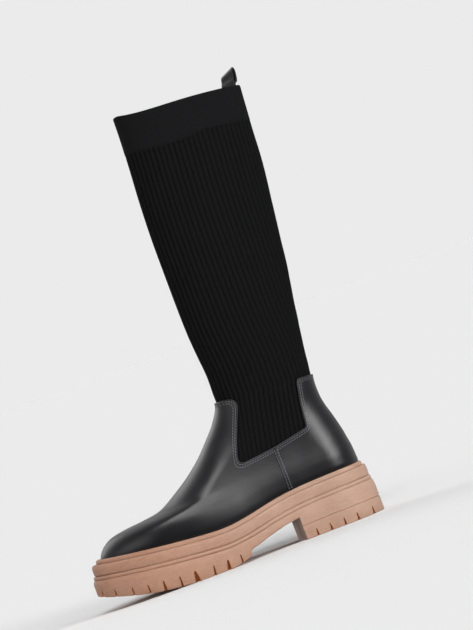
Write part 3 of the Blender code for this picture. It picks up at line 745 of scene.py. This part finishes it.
# %% [markdown]
# The leather's edge is turned under and stitched twice. The turned edge is a round bead
# along the cut. A stitch is one small capsule, copied along the same outline further in.

# %% The turned edge: a thin tube along the cut, closed into a ring
EDGE_RADIUS = 1.05 * MM
EDGE_INSET = 0.5 * MM
EDGE_PITCH = 1.5 * MM
EDGE_LIFT = 0.35 * MM


def ring_tube(name, points, radius):
    curve = bpy.data.curves.new(name, "CURVE")
    curve.dimensions = "3D"
    spline = curve.splines.new("POLY")
    spline.points.add(len(points) - 1)
    for target, point in zip(spline.points, points):
        target.co = (*point, 1.0)
    spline.use_cyclic_u = True
    curve.bevel_depth = radius
    curve.bevel_resolution = 2
    holder = bpy.data.objects.new(name, curve)
    bpy.context.collection.objects.link(holder)
    deselect()
    holder.select_set(True)
    bpy.context.view_layer.objects.active = holder
    bpy.ops.object.convert(target="MESH")
    return bpy.context.object


def make_turned_edge():
    path = edge_path(EDGE_INSET, EDGE_PITCH)
    outer = [on_side(point.x, point.y, False, EDGE_LIFT) for point in path]
    inner = [on_side(point.x, point.y, True, EDGE_LIFT) for point in path]
    piece = ring_tube("turned_edge", outer + inner[::-1], EDGE_RADIUS)
    finish_piece(piece, LEATHER_FINISH, "leather", angle=80)


make_turned_edge()

# %% Rows of stitches
STITCH_LENGTH = 1.9 * MM
STITCH_PITCH = 2.7 * MM
STITCH_RADIUS = 0.30 * MM
STITCH_SINK = 0.15 * MM
STITCH_LIFT = 0.12 * MM
EDGE_ROWS = (1.5 * MM, 3.5 * MM)


def stitch_row(points, lifts):
    """Capsules along a row of points: one mesh for the whole row."""
    build = bmesh.new()
    for first, second, normal in zip(points, points[1:], lifts):
        way = (second - first)
        if way.length < STITCH_PITCH * 0.4 or way.length > STITCH_PITCH * 2:
            continue
        way.normalize()
        side = way.cross(normal).normalized()
        middle = (first + second) / 2
        rings = []
        for share, wide in ((-0.5, 0.35), (-0.36, 1.0), (0.36, 1.0), (0.5, 0.35)):
            center = middle + way * share * STITCH_LENGTH
            center += normal * (-STITCH_SINK if wide < 1 else 0.0)
            ring = []
            for step in range(6):
                angle = math.pi / 3 * step
                out = side * math.cos(angle) + normal * math.sin(angle) * 0.8
                ring.append(build.verts.new(center + out * STITCH_RADIUS * wide))
            rings.append(ring)
        for low, high in zip(rings, rings[1:]):
            for step in range(6):
                build.faces.new((low[step], high[step], high[(step + 1) % 6], low[(step + 1) % 6]))
        build.faces.new(rings[0])
        build.faces.new(rings[-1][::-1])
    return build


def stitch_piece(name, rows):
    mesh = bpy.data.meshes.new(name)
    total = bmesh.new()
    for points, lifts in rows:
        build = stitch_row(points, lifts)
        build.to_mesh(mesh)
        build.free()
        total.from_mesh(mesh)
    bmesh.ops.recalc_face_normals(total, faces=total.faces)
    total.to_mesh(mesh)
    total.free()
    piece = bpy.data.objects.new(name, mesh)
    bpy.context.collection.objects.link(piece)
    finish_piece(piece, THREAD_FINISH, "leather", angle=80)


def side_row(path, inner, lift):
    points = [on_side(point.x, point.y, inner, lift) for point in path]
    above = [on_side(point.x, point.y, inner, lift + 1 * MM) for point in path]
    return points, [(high - low).normalized() for low, high in zip(points, above)]


def make_edge_stitches():
    rows = []
    for shift in EDGE_ROWS:
        for inner in (False, True):
            rows.append(side_row(edge_path(shift, STITCH_PITCH), inner, LEATHER_PROUD + STITCH_LIFT))
    stitch_piece("edge_stitches", rows)


make_edge_stitches()

# %% [markdown]
# The vamp and the quarter meet under the cut-out on each side, where a narrow strip of
# leather covers the join. It is stitched along both edges.

# %% The strips over the side joins
STRIP_SHARE = 0.280
STRIP_WIDTH = 4.6 * MM
STRIP_THICK = 1.3 * MM


def outline_z(x, shift):
    outline = edge_outline(shift)
    for first, second in zip(outline, outline[1:]):
        if first.x <= x <= second.x:
            return first.y + (second.y - first.y) * (x - first.x) / (second.x - first.x)
    return outline[-1].y


def make_strip(inner):
    middle = place_x(STRIP_SHARE)
    low = feather(middle) + 0.6 * MM
    high = outline_z(middle, 1.2 * MM)

    def strip_place(across, along):
        x = middle + (across - 0.5) * STRIP_WIDTH
        rise = 1 - abs(across * 2 - 1) ** 6
        return on_side(x, low + (high - low) * along, inner, LEATHER_PROUD - 0.2 * MM + STRIP_THICK * rise)

    side = "inner" if inner else "outer"
    piece = grid_sheet("seam_strip_" + side, 12, 30, strip_place)
    if inner:
        edit_all(piece)
        bpy.ops.mesh.flip_normals()
        bpy.ops.object.mode_set(mode="OBJECT")
    thicken(piece, 0.8 * MM, -1.0)
    finish_piece(piece, LEATHER_FINISH, "leather", "side_strip_" + side, angle=60)
    rows = []
    for reach in (-0.30, 0.30):
        x = middle + reach * STRIP_WIDTH
        path = even_points([Vector((x, low + 1 * MM)), Vector((x, high - 1 * MM))], STITCH_PITCH)
        rows.append(side_row(path, inner, LEATHER_PROUD + STRIP_THICK - STITCH_LIFT))
    stitch_piece("strip_stitches_" + side, rows)


for inner_side in (False, True):
    make_strip(inner_side)


# %% [markdown]
# The shaft is a tube knitted in a deep rib. The ribs are 5 mm apart, start at the front
# line and run out at the seam behind, and below the ankle they fan toward the toe. They
# show at the outline, so they are modelled: the sheet is fine enough for six faces to a
# rib. The top band is knitted plain and double, a little thicker than the ribs.

# %% The knit sheet
RIB_HEIGHT = 1.15 * MM
BAND_STEP = 0.4 * MM
RIB_FAN = 0.2
SHAFT_HALF = 200
ANKLE_ROWS = 26
RIB_ROWS = 72
BAND_ROWS = 12
BAND_EDGE = 0.035
# share of the way from front to back, how far the band's edge waves, in rings
BAND_WAVE = ((0.0, 0.0), (0.28, -0.05), (0.45, -0.03), (0.62, 0.10), (0.80, 0.05), (1.0, 0.0))
CORNER_SHARE = 0.035
CORNER_DROP = 1.6 * MM
KNIT_OUT = LEATHER_PROUD - LEATHER - GAP


def ring_at_rise(rise):
    for index, (low, high) in enumerate(zip(SHAFT, SHAFT[1:])):
        if rise <= high[0]:
            return FOOT_TOP + 1 + index + (rise - low[0]) / (high[0] - low[0])
    return COLLAR


BAND_RING = ring_at_rise(1 - BAND_DEPTH / SHAFT_RISE)


def lap_rings():
    """For each column, the ring at which the knit ends under the leather."""
    outline = even_points(edge_outline(LAP), 1 * MM)
    samples = []
    for point in outline:
        ring, around = ring_at(point.x, point.y)
        samples.append((around, ring))
    samples.sort()
    inside = [sample for sample in samples if 0.001 < sample[0] < 0.999]
    inside.insert(0, (0.0, inside[0][1]))
    inside.append((1.0, inside[-1][1]))
    lows = []
    for column in range(2 * SHAFT_HALF + 1):
        around = column / SHAFT_HALF
        lows.append(interpolate(inside, around if around <= 1 else 2 - around, 1))
    return lows


LAP_RINGS = lap_rings()


def rib_distance(ring, around):
    """Distance round the knit from its front line, which sets the rib's phase."""
    side = around if around <= 1 else 2 - around
    point = surface(ring, side)
    if ring < FOOT_TOP:
        top = surface(FOOT_TOP, 0).z
        x = point.x + RIB_FAN * (top - point.z)
        front_x, _, back_x = RINGS[FOOT_TOP][:3]
        along = min(1.0, max(0.0, (x - front_x) / (back_x - front_x)))
        ring = FOOT_TOP
        side = math.acos(1 - 2 * along) / math.pi
    return arc_length(ring, side)


ARC_CACHE = {}


def arc_length(ring, side):
    key = round(ring, 3)
    if key not in ARC_CACHE:
        lengths = [0.0]
        last = surface(ring, 0.0)
        for step in range(1, 101):
            point = surface(ring, step / 100 - (1e-6 if step == 100 else 0.0))
            lengths.append(lengths[-1] + (point - last).length)
            last = point
        ARC_CACHE[key] = lengths
    lengths = ARC_CACHE[key]
    place = side * 100
    index = min(99, int(place))
    return lengths[index] + (lengths[index + 1] - lengths[index]) * (place - index)


def band_ring(around):
    along = (1 - math.cos(math.pi * around)) / 2
    return BAND_RING + interpolate(BAND_WAVE, along, 1)


def shaft_ring(column, row):
    if row <= ANKLE_ROWS:
        low = LAP_RINGS[column]
        return low + (FOOT_TOP - low) * row / ANKLE_ROWS
    band = band_ring(column / SHAFT_HALF)
    row -= ANKLE_ROWS
    if row <= RIB_ROWS:
        return FOOT_TOP + (band - FOOT_TOP) * row / RIB_ROWS
    start = band + BAND_EDGE
    return start + (COLLAR - start) * (row - RIB_ROWS - 1) / BAND_ROWS


def make_shaft():
    columns = 2 * SHAFT_HALF
    rows = ANKLE_ROWS + RIB_ROWS + 1 + BAND_ROWS
    notes = {}

    def shaft_place(across, along):
        column = round(across * columns)
        row = round(along * rows)
        ring = shaft_ring(column, row)
        around = column / SHAFT_HALF
        point = surface(ring, around % 2)
        notes[tuple(round(value, 6) for value in point)] = (ring, around)
        return point

    piece = grid_sheet("knit_shaft", columns, rows, shaft_place)
    distances = []
    for vertex in piece.data.vertices:
        ring, around = notes[tuple(round(value, 6) for value in vertex.co)]
        distances.append((ring, around, rib_distance(ring, around)))
    layer = piece.data.uv_layers[0]
    for item in piece.data.loops:
        ring, around, distance = distances[item.vertex_index]
        vertex = piece.data.vertices[item.vertex_index]
        edge_z = surface(band_ring(around), around % 2).z
        layer.data[item.index].uv = (distance if around <= 1 else -distance, vertex.co.z - edge_z)
    normals = [vertex.normal.copy() for vertex in piece.data.vertices]
    for vertex, normal, (ring, around, distance) in zip(piece.data.vertices, normals, distances):
        rib = abs(math.cos(math.pi * distance / RIB_PITCH)) ** 0.6
        shape = (rib - 0.8) * RIB_HEIGHT
        if ring > band_ring(around) + BAND_EDGE / 2:
            shape = BAND_STEP
        if ring > COLLAR - 0.1:
            shape -= 0.6 * MM * ((ring - COLLAR + 0.1) / 0.1) ** 2
        vertex.co += normal * (KNIT_OUT + shape)
        along = (1 - math.cos(math.pi * around)) / 2
        near_rim = max(0.0, 1 - (COLLAR - ring) / 0.3)
        vertex.co.z -= CORNER_DROP * near_rim * max(0.0, 1 - along / CORNER_SHARE) ** 2
    piece.data.update()
    close_seams(piece, 0.00004)
    thicken(piece, KNIT, -1.0)
    finish_piece(piece, KNIT_FINISH, "knit", "shaft", angle=70)


make_shaft()

# %% [markdown]
# The sole is a stack: a thin welt round the upper, a plain midsole, and the moulded outsole
# with its bead, side wall, arch, heel block and notched tread. All three follow the plan of
# the last, each with its own margins at toe, side and heel.

# %% Sizes of the sole
WELT = 4.0 * MM
MIDSOLE = 11.3 * MM
BEAD = 3.4 * MM
TREAD_SPRING = 18.2 * MM
ARCH_HEIGHT = 22.2 * MM
BREAST_SHARE = 0.2869
UNDERSIDE = ((0.2875, 0.0, 1.0), (0.306, 0.0, 0.98), (0.345, 0.0, 0.91), (0.384, 0.0, 0.80),
             (0.422, 0.0, 0.685), (0.461, 0.0, 0.55), (0.496, 0.0, 0.46), (0.4985, 0.28, 0.0),
             (0.509, 0.24, 0.0), (0.529, 0.12, 0.0), (0.553, 0.05, 0.0), (0.578, 0.0, 0.0),
             (0.730, 0.0, 0.0), (0.775, 0.06, 0.0), (0.813, 0.12, 0.0), (0.850, 0.18, 0.0),
             (0.886, 0.265, 0.0), (0.923, 0.37, 0.0), (0.958, 0.505, 0.0), (0.993, 0.64, 0.0),
             (1.027, 0.78, 0.0), (1.070, 1.0, 0.0))
# share of the length, width, height, slant
TREAD_NOTCHES = ((1.045, 1.6, 7.0, 0.0), (1.003, 1.8, 7.5, 0.0), (0.945, 1.8, 8.5, 0.0),
                 (0.890, 2.0, 9.0, 0.0), (0.835, 3.0, 9.5, 0.0), (0.775, 2.2, 10.0, 0.0),
                 (0.717, 5.0, 10.5, 0.0), (0.656, 2.4, 9.5, 2.5), (0.601, 4.0, 9.5, 2.5),
                 (0.541, 2.0, 8.5, 0.0))
HEEL_NOTCHES = ((0.244, 2.2, 7.5, 0.0), (0.190, 2.2, 7.5, 0.0), (0.136, 2.2, 7.5, 0.0),
                (0.084, 2.2, 7.5, 0.0), (0.020, 2.2, 7.5, 0.0))
WELT_TOP = (4.2 * MM, 3.6 * MM, 2.0 * MM)
WELT_SIDE = (6.6 * MM, 5.0 * MM, 3.4 * MM)
MIDSOLE_TOP = (9.5 * MM, 6.2 * MM, 5.4 * MM)
MIDSOLE_SIDE = (12.4 * MM, 7.8 * MM, 6.3 * MM)
BEAD_MARGIN = (14.0 * MM, 7.8 * MM, 7.2 * MM)
WALL_TOP = (15.0 * MM, 8.6 * MM, 8.0 * MM)
WALL_MIDDLE = (15.9 * MM, 9.0 * MM, 8.6 * MM)
HEEL_GROOVE = 0.9 * MM
BEAD_BULGE = 0.9 * MM
BREAST_STEP = 0.16 * MM
ARCH_STEPS = (0.4965, 0.498)
# how far a notch cutter goes into the sole, and past it
TREAD_CUT = 14 * MM
HEEL_CUT = 10 * MM
CUT_PAST = 10 * MM


# %% Outlines of the sole
def sole_ends(margin):
    toe, side, heel = margin
    toe_round = FOOT[0][6] * UPPER_LENGTH + (toe + side) / 2
    heel_round = FOOT[0][7] * UPPER_LENGTH + (heel + side) / 2
    return place_x(1.0) - toe, place_x(0.0) + heel, toe_round, heel_round


def station_x(station, margin):
    zone, value = station
    tip, end, toe_round, heel_round = sole_ends(margin)
    if zone == "toe":
        return tip + toe_round * (1 - math.cos(value))
    if zone == "heel":
        return end - heel_round * (1 - math.cos(value))
    return tip + toe_round + (end - heel_round - tip - toe_round) * value


def sole_y(x, margin, inner):
    tip, end, toe_round, heel_round = sole_ends(margin)
    half = BALL_WIDTH / 2 * FOOT[0][4] + margin[1]
    share = share_at(x)
    close = close_end(x - tip, toe_round) * close_end(end - x, heel_round)
    reach = smooth(PLAN, share, 2 if inner else 1) * half * close
    return swing(share) + (reach if inner else -reach)


def underside(x):
    share = share_at(x)
    if share < BREAST_SHARE + 1e-5:
        return 0.0
    return interpolate(UNDERSIDE, share, 1) * TREAD_SPRING + interpolate(UNDERSIDE, share, 2) * ARCH_HEIGHT


def sole_stations(extra=()):
    tip, end, toe_round, heel_round = sole_ends(WALL_MIDDLE)
    start = tip + toe_round
    length = end - heel_round - start
    quarter = math.pi / 2
    toe = [("toe", quarter * step / 26) for step in range(27)]
    heel = [("heel", quarter * step / 22) for step in range(22, -1, -1)]
    middle = sorted([step / 60 for step in range(1, 60)] + [(x - start) / length for x in extra])
    return toe + [("middle", value) for value in middle] + heel


def sole_loop(margin, height, stations):
    outer_side = []
    inner_side = []
    for station in stations:
        x = station_x(station, margin)
        z = height(x, station_x(station, WALL_MIDDLE))
        outer_side.append(Vector((x, sole_y(x, margin, False), z)))
        inner_side.append(Vector((x, sole_y(x, margin, True), z)))
    return outer_side + inner_side[-2:0:-1]


def below_feather(drop):
    return lambda x, wall_x: feather(x) - drop


# %% Loft a stack of outlines into a closed piece
def loft(name, loops):
    """The side of the piece as one grid."""
    count = len(loops[0])

    def loft_place(across, along):
        return loops[round(along * (len(loops) - 1))][round(across * count) % count]

    return grid_sheet(name, count, len(loops) - 1, loft_place)


def cap(name, loop, up):
    """A sheet across the piece between matching points of its two sides."""
    half = len(loop) // 2

    def cap_place(across, along):
        step = round(along * half)
        outer_point = loop[step]
        inner_point = loop[(len(loop) - step) % len(loop)]
        if not up:
            across = 1 - across
        return outer_point.lerp(inner_point, 1 - across)

    return grid_sheet(name, 12, half, cap_place)


def closed_stack(name, loops):
    side = loft(name, loops)
    bottom = cap("cap_low", loops[0], False)
    top = cap("cap_high", loops[-1], True)
    piece = join(name, [side, bottom, top])
    close_seams(piece, 0.00003, outward=True)
    return piece


# %% Welt
def make_welt():
    count = 120
    clear = LEATHER_PROUD + GAP
    arounds = [step / count for step in range(2 * count)]
    inside = []
    for around in arounds:
        point = lifted(0.0, around, clear)
        inside.append(Vector((point.x, point.y, feather(point.x))))

    def outline(margin, drop):
        tip, end = sole_ends(margin)[:2]
        points = []
        for around in arounds:
            x = tip + (end - tip) * (1 - math.cos(math.pi * around)) / 2
            points.append(Vector((x, sole_y(x, margin, around >= 1), feather(x) - drop)))
        return points

    middle = tuple((a + b) / 2 + 0.3 * MM for a, b in zip(WELT_TOP, WELT_SIDE))
    loops = [outline(WELT_SIDE, WELT), outline(WELT_SIDE, WELT * 0.45), outline(middle, WELT * 0.14),
             outline(WELT_TOP, 0.0), inside, [point - Vector((0, 0, WELT)) for point in inside],
             outline(WELT_SIDE, WELT)]
    piece = loft("welt_strip", loops)
    close_seams(piece, 0.00003, outward=True)
    finish_piece(piece, RUBBER_FINISH, "rubber", "welt")


make_welt()


# %% Midsole
def make_midsole():
    stations = sole_stations()
    top = WELT + GAP
    bottom = WELT + MIDSOLE

    def part(margin_share, drop):
        margin = tuple(a + (b - a) * margin_share for a, b in zip(MIDSOLE_TOP, MIDSOLE_SIDE))
        return sole_loop(margin, below_feather(drop), stations)

    loops = [part(0.55, bottom), part(0.9, bottom - 0.7 * MM), part(1.0, bottom - 1.6 * MM),
             part(1.0, top + MIDSOLE * 0.45), part(0.85, top + MIDSOLE * 0.2),
             part(0.5, top + MIDSOLE * 0.06), part(0.0, top)]
    piece = closed_stack("midsole_layer", loops)
    finish_piece(piece, RUBBER_FINISH, "rubber", "midsole", angle=35)


make_midsole()


# %% [markdown]
# The outsole's tread and heel are cut by wedge-shaped notches that open downward. Each is
# a cube primitive shaped as a wedge, set at the sole's edge, and taken away.

# %% Outsole
def wedge(x, low, high, width, slant, y_out, y_in):
    deselect()
    bpy.ops.mesh.primitive_cube_add(size=2)
    made = bpy.context.object
    foot = width * (1 + CUT_PAST / (high - low - CUT_PAST)) / 2
    for vertex in made.data.vertices:
        right = vertex.co.x > 0
        above = vertex.co.z > 0
        half = width * 0.2 if above else foot
        y = y_out if vertex.co.y < 0 else y_in
        vertex.co = (x + (half if right else -half) + (slant if above else 0.0), y, high if above else low)
    made.data.update()
    return made


def mark_cut_sides(piece):
    """Thin rubber lets light through, so the sides of the cuts get a mark: the rubber paints them lighter
    and orange with a painted glow.
    """
    layer = piece.data.attributes.new("cut_painted_glow", "FLOAT", "FACE")
    for face, mark in zip(piece.data.polygons, layer.data):
        x, y, z = face.center
        inner = y > 0
        inside = abs(sole_y(x, WALL_MIDDLE, inner) - swing(share_at(x))) - abs(y - swing(share_at(x)))
        upright = abs(face.normal.z) < 0.5
        in_tread = underside(x) + 0.1 * MM < z < underside(x) + 11 * MM
        mark.value = 1.0 if inside > 1.4 * MM and upright and in_tread else 0.0


def make_outsole():
    front = place_x(BREAST_SHARE)
    stations = sole_stations([front, front - BREAST_STEP] + [place_x(share) for share in ARCH_STEPS])
    top = WELT + MIDSOLE + GAP
    wall_top = top + BEAD + GAP

    def on_wall(share, lift=0.0):
        return lambda x, wall_x: (underside(wall_x) + lift) * (1 - share) + (feather(x) - wall_top) * share

    def less(margin, amount):
        return tuple(value - amount for value in margin)

    def wall(share, lift=0.0, step=0.0):
        return sole_loop(less(WALL_MIDDLE, step), on_wall(share, lift), stations)

    def heel_only(plain, grooved):
        return [second if first.x > front else first for first, second in zip(plain, grooved)]

    bead = less(BEAD_MARGIN, BEAD_BULGE)
    loops = [wall(0.0, 0.0, 1.2 * MM), wall(0.0, 0.4 * MM, 0.4 * MM), wall(0.0, 1.2 * MM),
             wall(0.42), heel_only(wall(0.435), wall(0.435, 0.0, HEEL_GROOVE)),
             heel_only(wall(0.455), wall(0.455, 0.0, HEEL_GROOVE)), wall(0.47), wall(0.75),
             sole_loop(WALL_TOP, on_wall(0.93), stations),
             sole_loop(less(WALL_TOP, 0.7 * MM), on_wall(0.985), stations),
             sole_loop(bead, on_wall(1.0), stations)]
    for share, out in ((0.08, 0.55), (0.25, 0.9), (0.5, 1.0), (0.75, 0.9), (0.92, 0.55)):
        margin = less(BEAD_MARGIN, BEAD_BULGE * (1 - out))
        loops.append(sole_loop(margin, below_feather(wall_top - BEAD * share), stations))
    loops.append(sole_loop(bead, below_feather(top), stations))
    piece = closed_stack("tread_outsole", loops)
    cutters = []
    for notches, reach in ((TREAD_NOTCHES, TREAD_CUT), (HEEL_NOTCHES, HEEL_CUT)):
        for share, width, height, slant in notches:
            x = place_x(share)
            for inner in (False, True):
                side = 1 if inner else -1
                edge = sole_y(x, WALL_MIDDLE, inner)
                ends = sorted((edge + side * CUT_PAST, edge - side * reach))
                cutters.append(wedge(x, underside(x) - CUT_PAST, underside(x) + height * MM, width * MM,
                                     slant * MM, *ends))
    cut_away(piece, join("notch_cutters", cutters))
    mark_cut_sides(piece)
    finish_piece(piece, RUBBER_FINISH, "rubber", "outsole", angle=35)


make_outsole()


# %% [markdown]
# The pull loop is a strap of leather, folded over and sewn inside the collar. It stands a
# little open, so both legs and the dark slit between them show at its edge.

# %% Pull loop
LOOP_WIDTH = 16.5 * MM
LOOP_LEATHER = 1.8 * MM
LOOP_SPAN = (1.04, 1.20)
LOOP_STAND = 15.2 * MM
LOOP_DROP = 22 * MM
LOOP_OPEN = 3.6 * MM
LOOP_RAKE = 5.5 * MM
# fold above the collar: share of the opening inward, share of the height
LOOP_FOLD = ((-0.75, 0.25), (-1.1, 0.60), (-1.05, 0.86), (-0.6, 0.96), (-0.15, 0.84),
             (0.1, 0.50), (0.65, 0.0))


def smooth_route(route, steps):
    points = []
    for place in range((len(route) - 1) * steps + 1):
        points.append(Vector(between_rows(route, place / steps)))
    return points


def make_pull_loop():
    wall = LEATHER_PROUD - LEATHER - GAP - KNIT - BAND_STEP - GAP
    near, far = (lifted(COLLAR, around, wall) for around in LOOP_SPAN)
    across_way = Vector((far.x - near.x, far.y - near.y, 0.0)).normalized()
    outward = Vector((across_way.y, -across_way.x, 0.0))
    middle = (near + far) / 2
    low_near, low_far = (lifted(COLLAR - 1, around, wall) for around in LOOP_SPAN)
    low_middle = (low_near + low_far) / 2
    lean = (middle - low_middle) / (middle.z - low_middle.z)
    leg = LOOP_LEATHER / 2
    route = [(leg, -LOOP_DROP), (leg, 0.0)]
    route += [(inward * LOOP_OPEN, rise * LOOP_STAND) for inward, rise in LOOP_FOLD]
    route.append((3 * leg + GAP, -LOOP_DROP))
    path = smooth_route(route, 6)

    def loop_place(across, along):
        inward, rise = path[round(along * (len(path) - 1))]
        reach = across - 0.5
        rake = -reach * LOOP_RAKE * max(0.0, rise / LOOP_STAND)
        return (middle + across_way * reach * LOOP_WIDTH - outward * inward + lean * rise
                + Vector((0, 0, rake)))

    piece = grid_sheet("strap_loop", 12, len(path) - 1, loop_place)
    thicken(piece, LOOP_LEATHER, 0.0)
    bevel = piece.modifiers.new("soft_edges", "BEVEL")
    bevel.width = 0.35 * MM
    bevel.segments = 2
    bevel.limit_method = "ANGLE"
    apply_all(piece)
    finish_piece(piece, LEATHER_FINISH, "leather", "pull_loop", angle=60)


make_pull_loop()

# %% Insole: the solid's own shape is right, so it only gets its cloth
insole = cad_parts["insole"]
insole.data.materials.clear()
insole.data.materials.append(LINING_FINISH)

# %% [markdown]
# The boot stands on a pale floor in a studio. A wide sun at the camera's right draws the
# highlight down the heel, one above lights the vamp, and two weak ones lift toe and back.

# %% Light that the room and four soft lights give
PALE = 0.83
FLOOR_SHADE = 0.80
NEAR_SIDE = 0.06
FAR_SIDE = 0.62
TURN_LOW = -0.5
TURN_HIGH = 0.9
# direction to the light, share of the strength, how wide it looks
LIGHTS = (("right_light", (0.62, -0.72, 0.30), 1.0, 28), ("high_light", (0.05, -0.66, 0.75), 0.9, 34),
          ("front_light", (-0.80, -0.55, 0.22), 0.25, 40), ("back_light", (-0.50, 0.72, 0.48), 0.3, 40))


def room_strength(y):
    share = min(1.0, max(0.0, (y - TURN_LOW) / (TURN_HIGH - TURN_LOW)))
    return NEAR_SIDE + (FAR_SIDE - NEAR_SIDE) * share * share * (3 - 2 * share)


def room_on_floor(steps=40):
    """Mean strength of the room over the sky above the floor, by the cosine law."""
    total = 0.0
    for ring in range(steps):
        reach = math.sqrt((ring + 0.5) / steps)
        for spoke in range(steps):
            total += room_strength(reach * math.sin(2 * math.pi * (spoke + 0.5) / steps))
    return total / steps ** 2


# %% Floor, world and lights
def make_floor():
    deselect()
    bpy.ops.mesh.primitive_plane_add(size=200)
    floor = bpy.context.object
    floor.name = "floor"
    finish = Finish("pale_floor")
    shade = (FLOOR_SHADE, FLOOR_SHADE, FLOOR_SHADE)
    finish.put("Base Color", finish.mix(finish.noise(3.0, 2.0), shade, shade))
    finish.set(Roughness=1.0, Specular_IOR_Level=0.0)
    floor.data.materials.append(finish.material)
    floor.visible_glossy = False


def make_world():
    """The camera sees the pale backdrop. The boot is lit by a room that is dark on the
    camera's side and bright on the far side, so black leather keeps dark faces and bright rims."""
    world = bpy.data.worlds.new("studio")
    bpy.context.scene.world = world
    world.use_nodes = True
    tree = world.node_tree
    new = tree.nodes.new
    room = tree.nodes["Background"]
    backdrop = new("ShaderNodeBackground")
    backdrop.inputs["Strength"].default_value = PALE
    backdrop.inputs["Color"].default_value = (1.0, 1.0, 1.0, 1.0)
    room.inputs["Color"].default_value = (1.0, 1.0, 1.0, 1.0)
    ways = new("ShaderNodeSeparateXYZ")
    turn = new("ShaderNodeMapRange")
    turn.interpolation_type = "SMOOTHSTEP"
    for name, value in (("From Min", TURN_LOW), ("From Max", TURN_HIGH), ("To Min", NEAR_SIDE),
                        ("To Max", FAR_SIDE)):
        turn.inputs[name].default_value = value
    path = new("ShaderNodeLightPath")
    choice = new("ShaderNodeMixShader")
    tree.links.new(new("ShaderNodeTexCoord").outputs["Generated"], ways.inputs[0])
    tree.links.new(ways.outputs["Y"], turn.inputs["Value"])
    tree.links.new(turn.outputs["Result"], room.inputs["Strength"])
    tree.links.new(path.outputs["Is Camera Ray"], choice.inputs["Fac"])
    tree.links.new(room.outputs[0], choice.inputs[1])
    tree.links.new(backdrop.outputs[0], choice.inputs[2])
    tree.links.new(choice.outputs[0], tree.nodes["World Output"].inputs["Surface"])


def make_lights():
    """A sun is as strong everywhere, so the floor keeps one tone out to the horizon. Together
    they bring the floor from the room's light up to the backdrop's."""
    ways = [Vector(way).normalized() for _, way, _, _ in LIGHTS]
    wanted = (PALE / FLOOR_SHADE - room_on_floor()) * math.pi
    scale = wanted / sum(way.z * share for way, (_, _, share, _) in zip(ways, LIGHTS))
    for way, (name, _, share, spread) in zip(ways, LIGHTS):
        deselect()
        bpy.ops.object.light_add(type="SUN", location=way * 3)
        light = bpy.context.object
        light.name = name
        light.data.angle = math.radians(spread)
        light.data.energy = scale * share
        light.rotation_euler = way.to_track_quat("Z", "Y").to_euler()
    print("light strengths", [round(scale * share, 2) for _, _, share, _ in LIGHTS])


make_floor()
make_world()
make_lights()
bpy.context.scene.view_settings.view_transform = "Standard"

# %% [markdown]
# The photograph looks at the boot's outer side, a little from the toe, with the boot leaned
# to the left. The boot here stands upright, so the camera is rolled instead. Its lens is
# long, and it stands above the floor.

# %% Camera
VIEW_TURN = math.radians(-7.0)
ROLL = math.radians(20.5)
FRAME_HEIGHT = 601.7 * MM
DISTANCE = 4.5
SENSOR = 36.0
AIM = Vector((-26.2 * MM, 0.0, 222.9 * MM))


def make_camera():
    right = Vector((math.cos(VIEW_TURN), math.sin(VIEW_TURN), 0.0))
    back = Vector((math.sin(VIEW_TURN), -math.cos(VIEW_TURN), 0.0))
    up = Vector((0, 0, 1))
    rolled_right = right * math.cos(ROLL) - up * math.sin(ROLL)
    rolled_up = right * math.sin(ROLL) + up * math.cos(ROLL)
    data = bpy.data.cameras.new("camera")
    data.sensor_width = SENSOR
    data.lens = SENSOR * DISTANCE / FRAME_HEIGHT
    data.clip_end = 100.0
    camera = bpy.data.objects.new("camera", data)
    bpy.context.collection.objects.link(camera)
    place = AIM + back * DISTANCE
    rows = [(rolled_right[row], rolled_up[row], back[row], place[row]) for row in range(3)]
    camera.matrix_world = Matrix(rows + [(0, 0, 0, 1)])
    bpy.context.scene.camera = camera


make_camera()
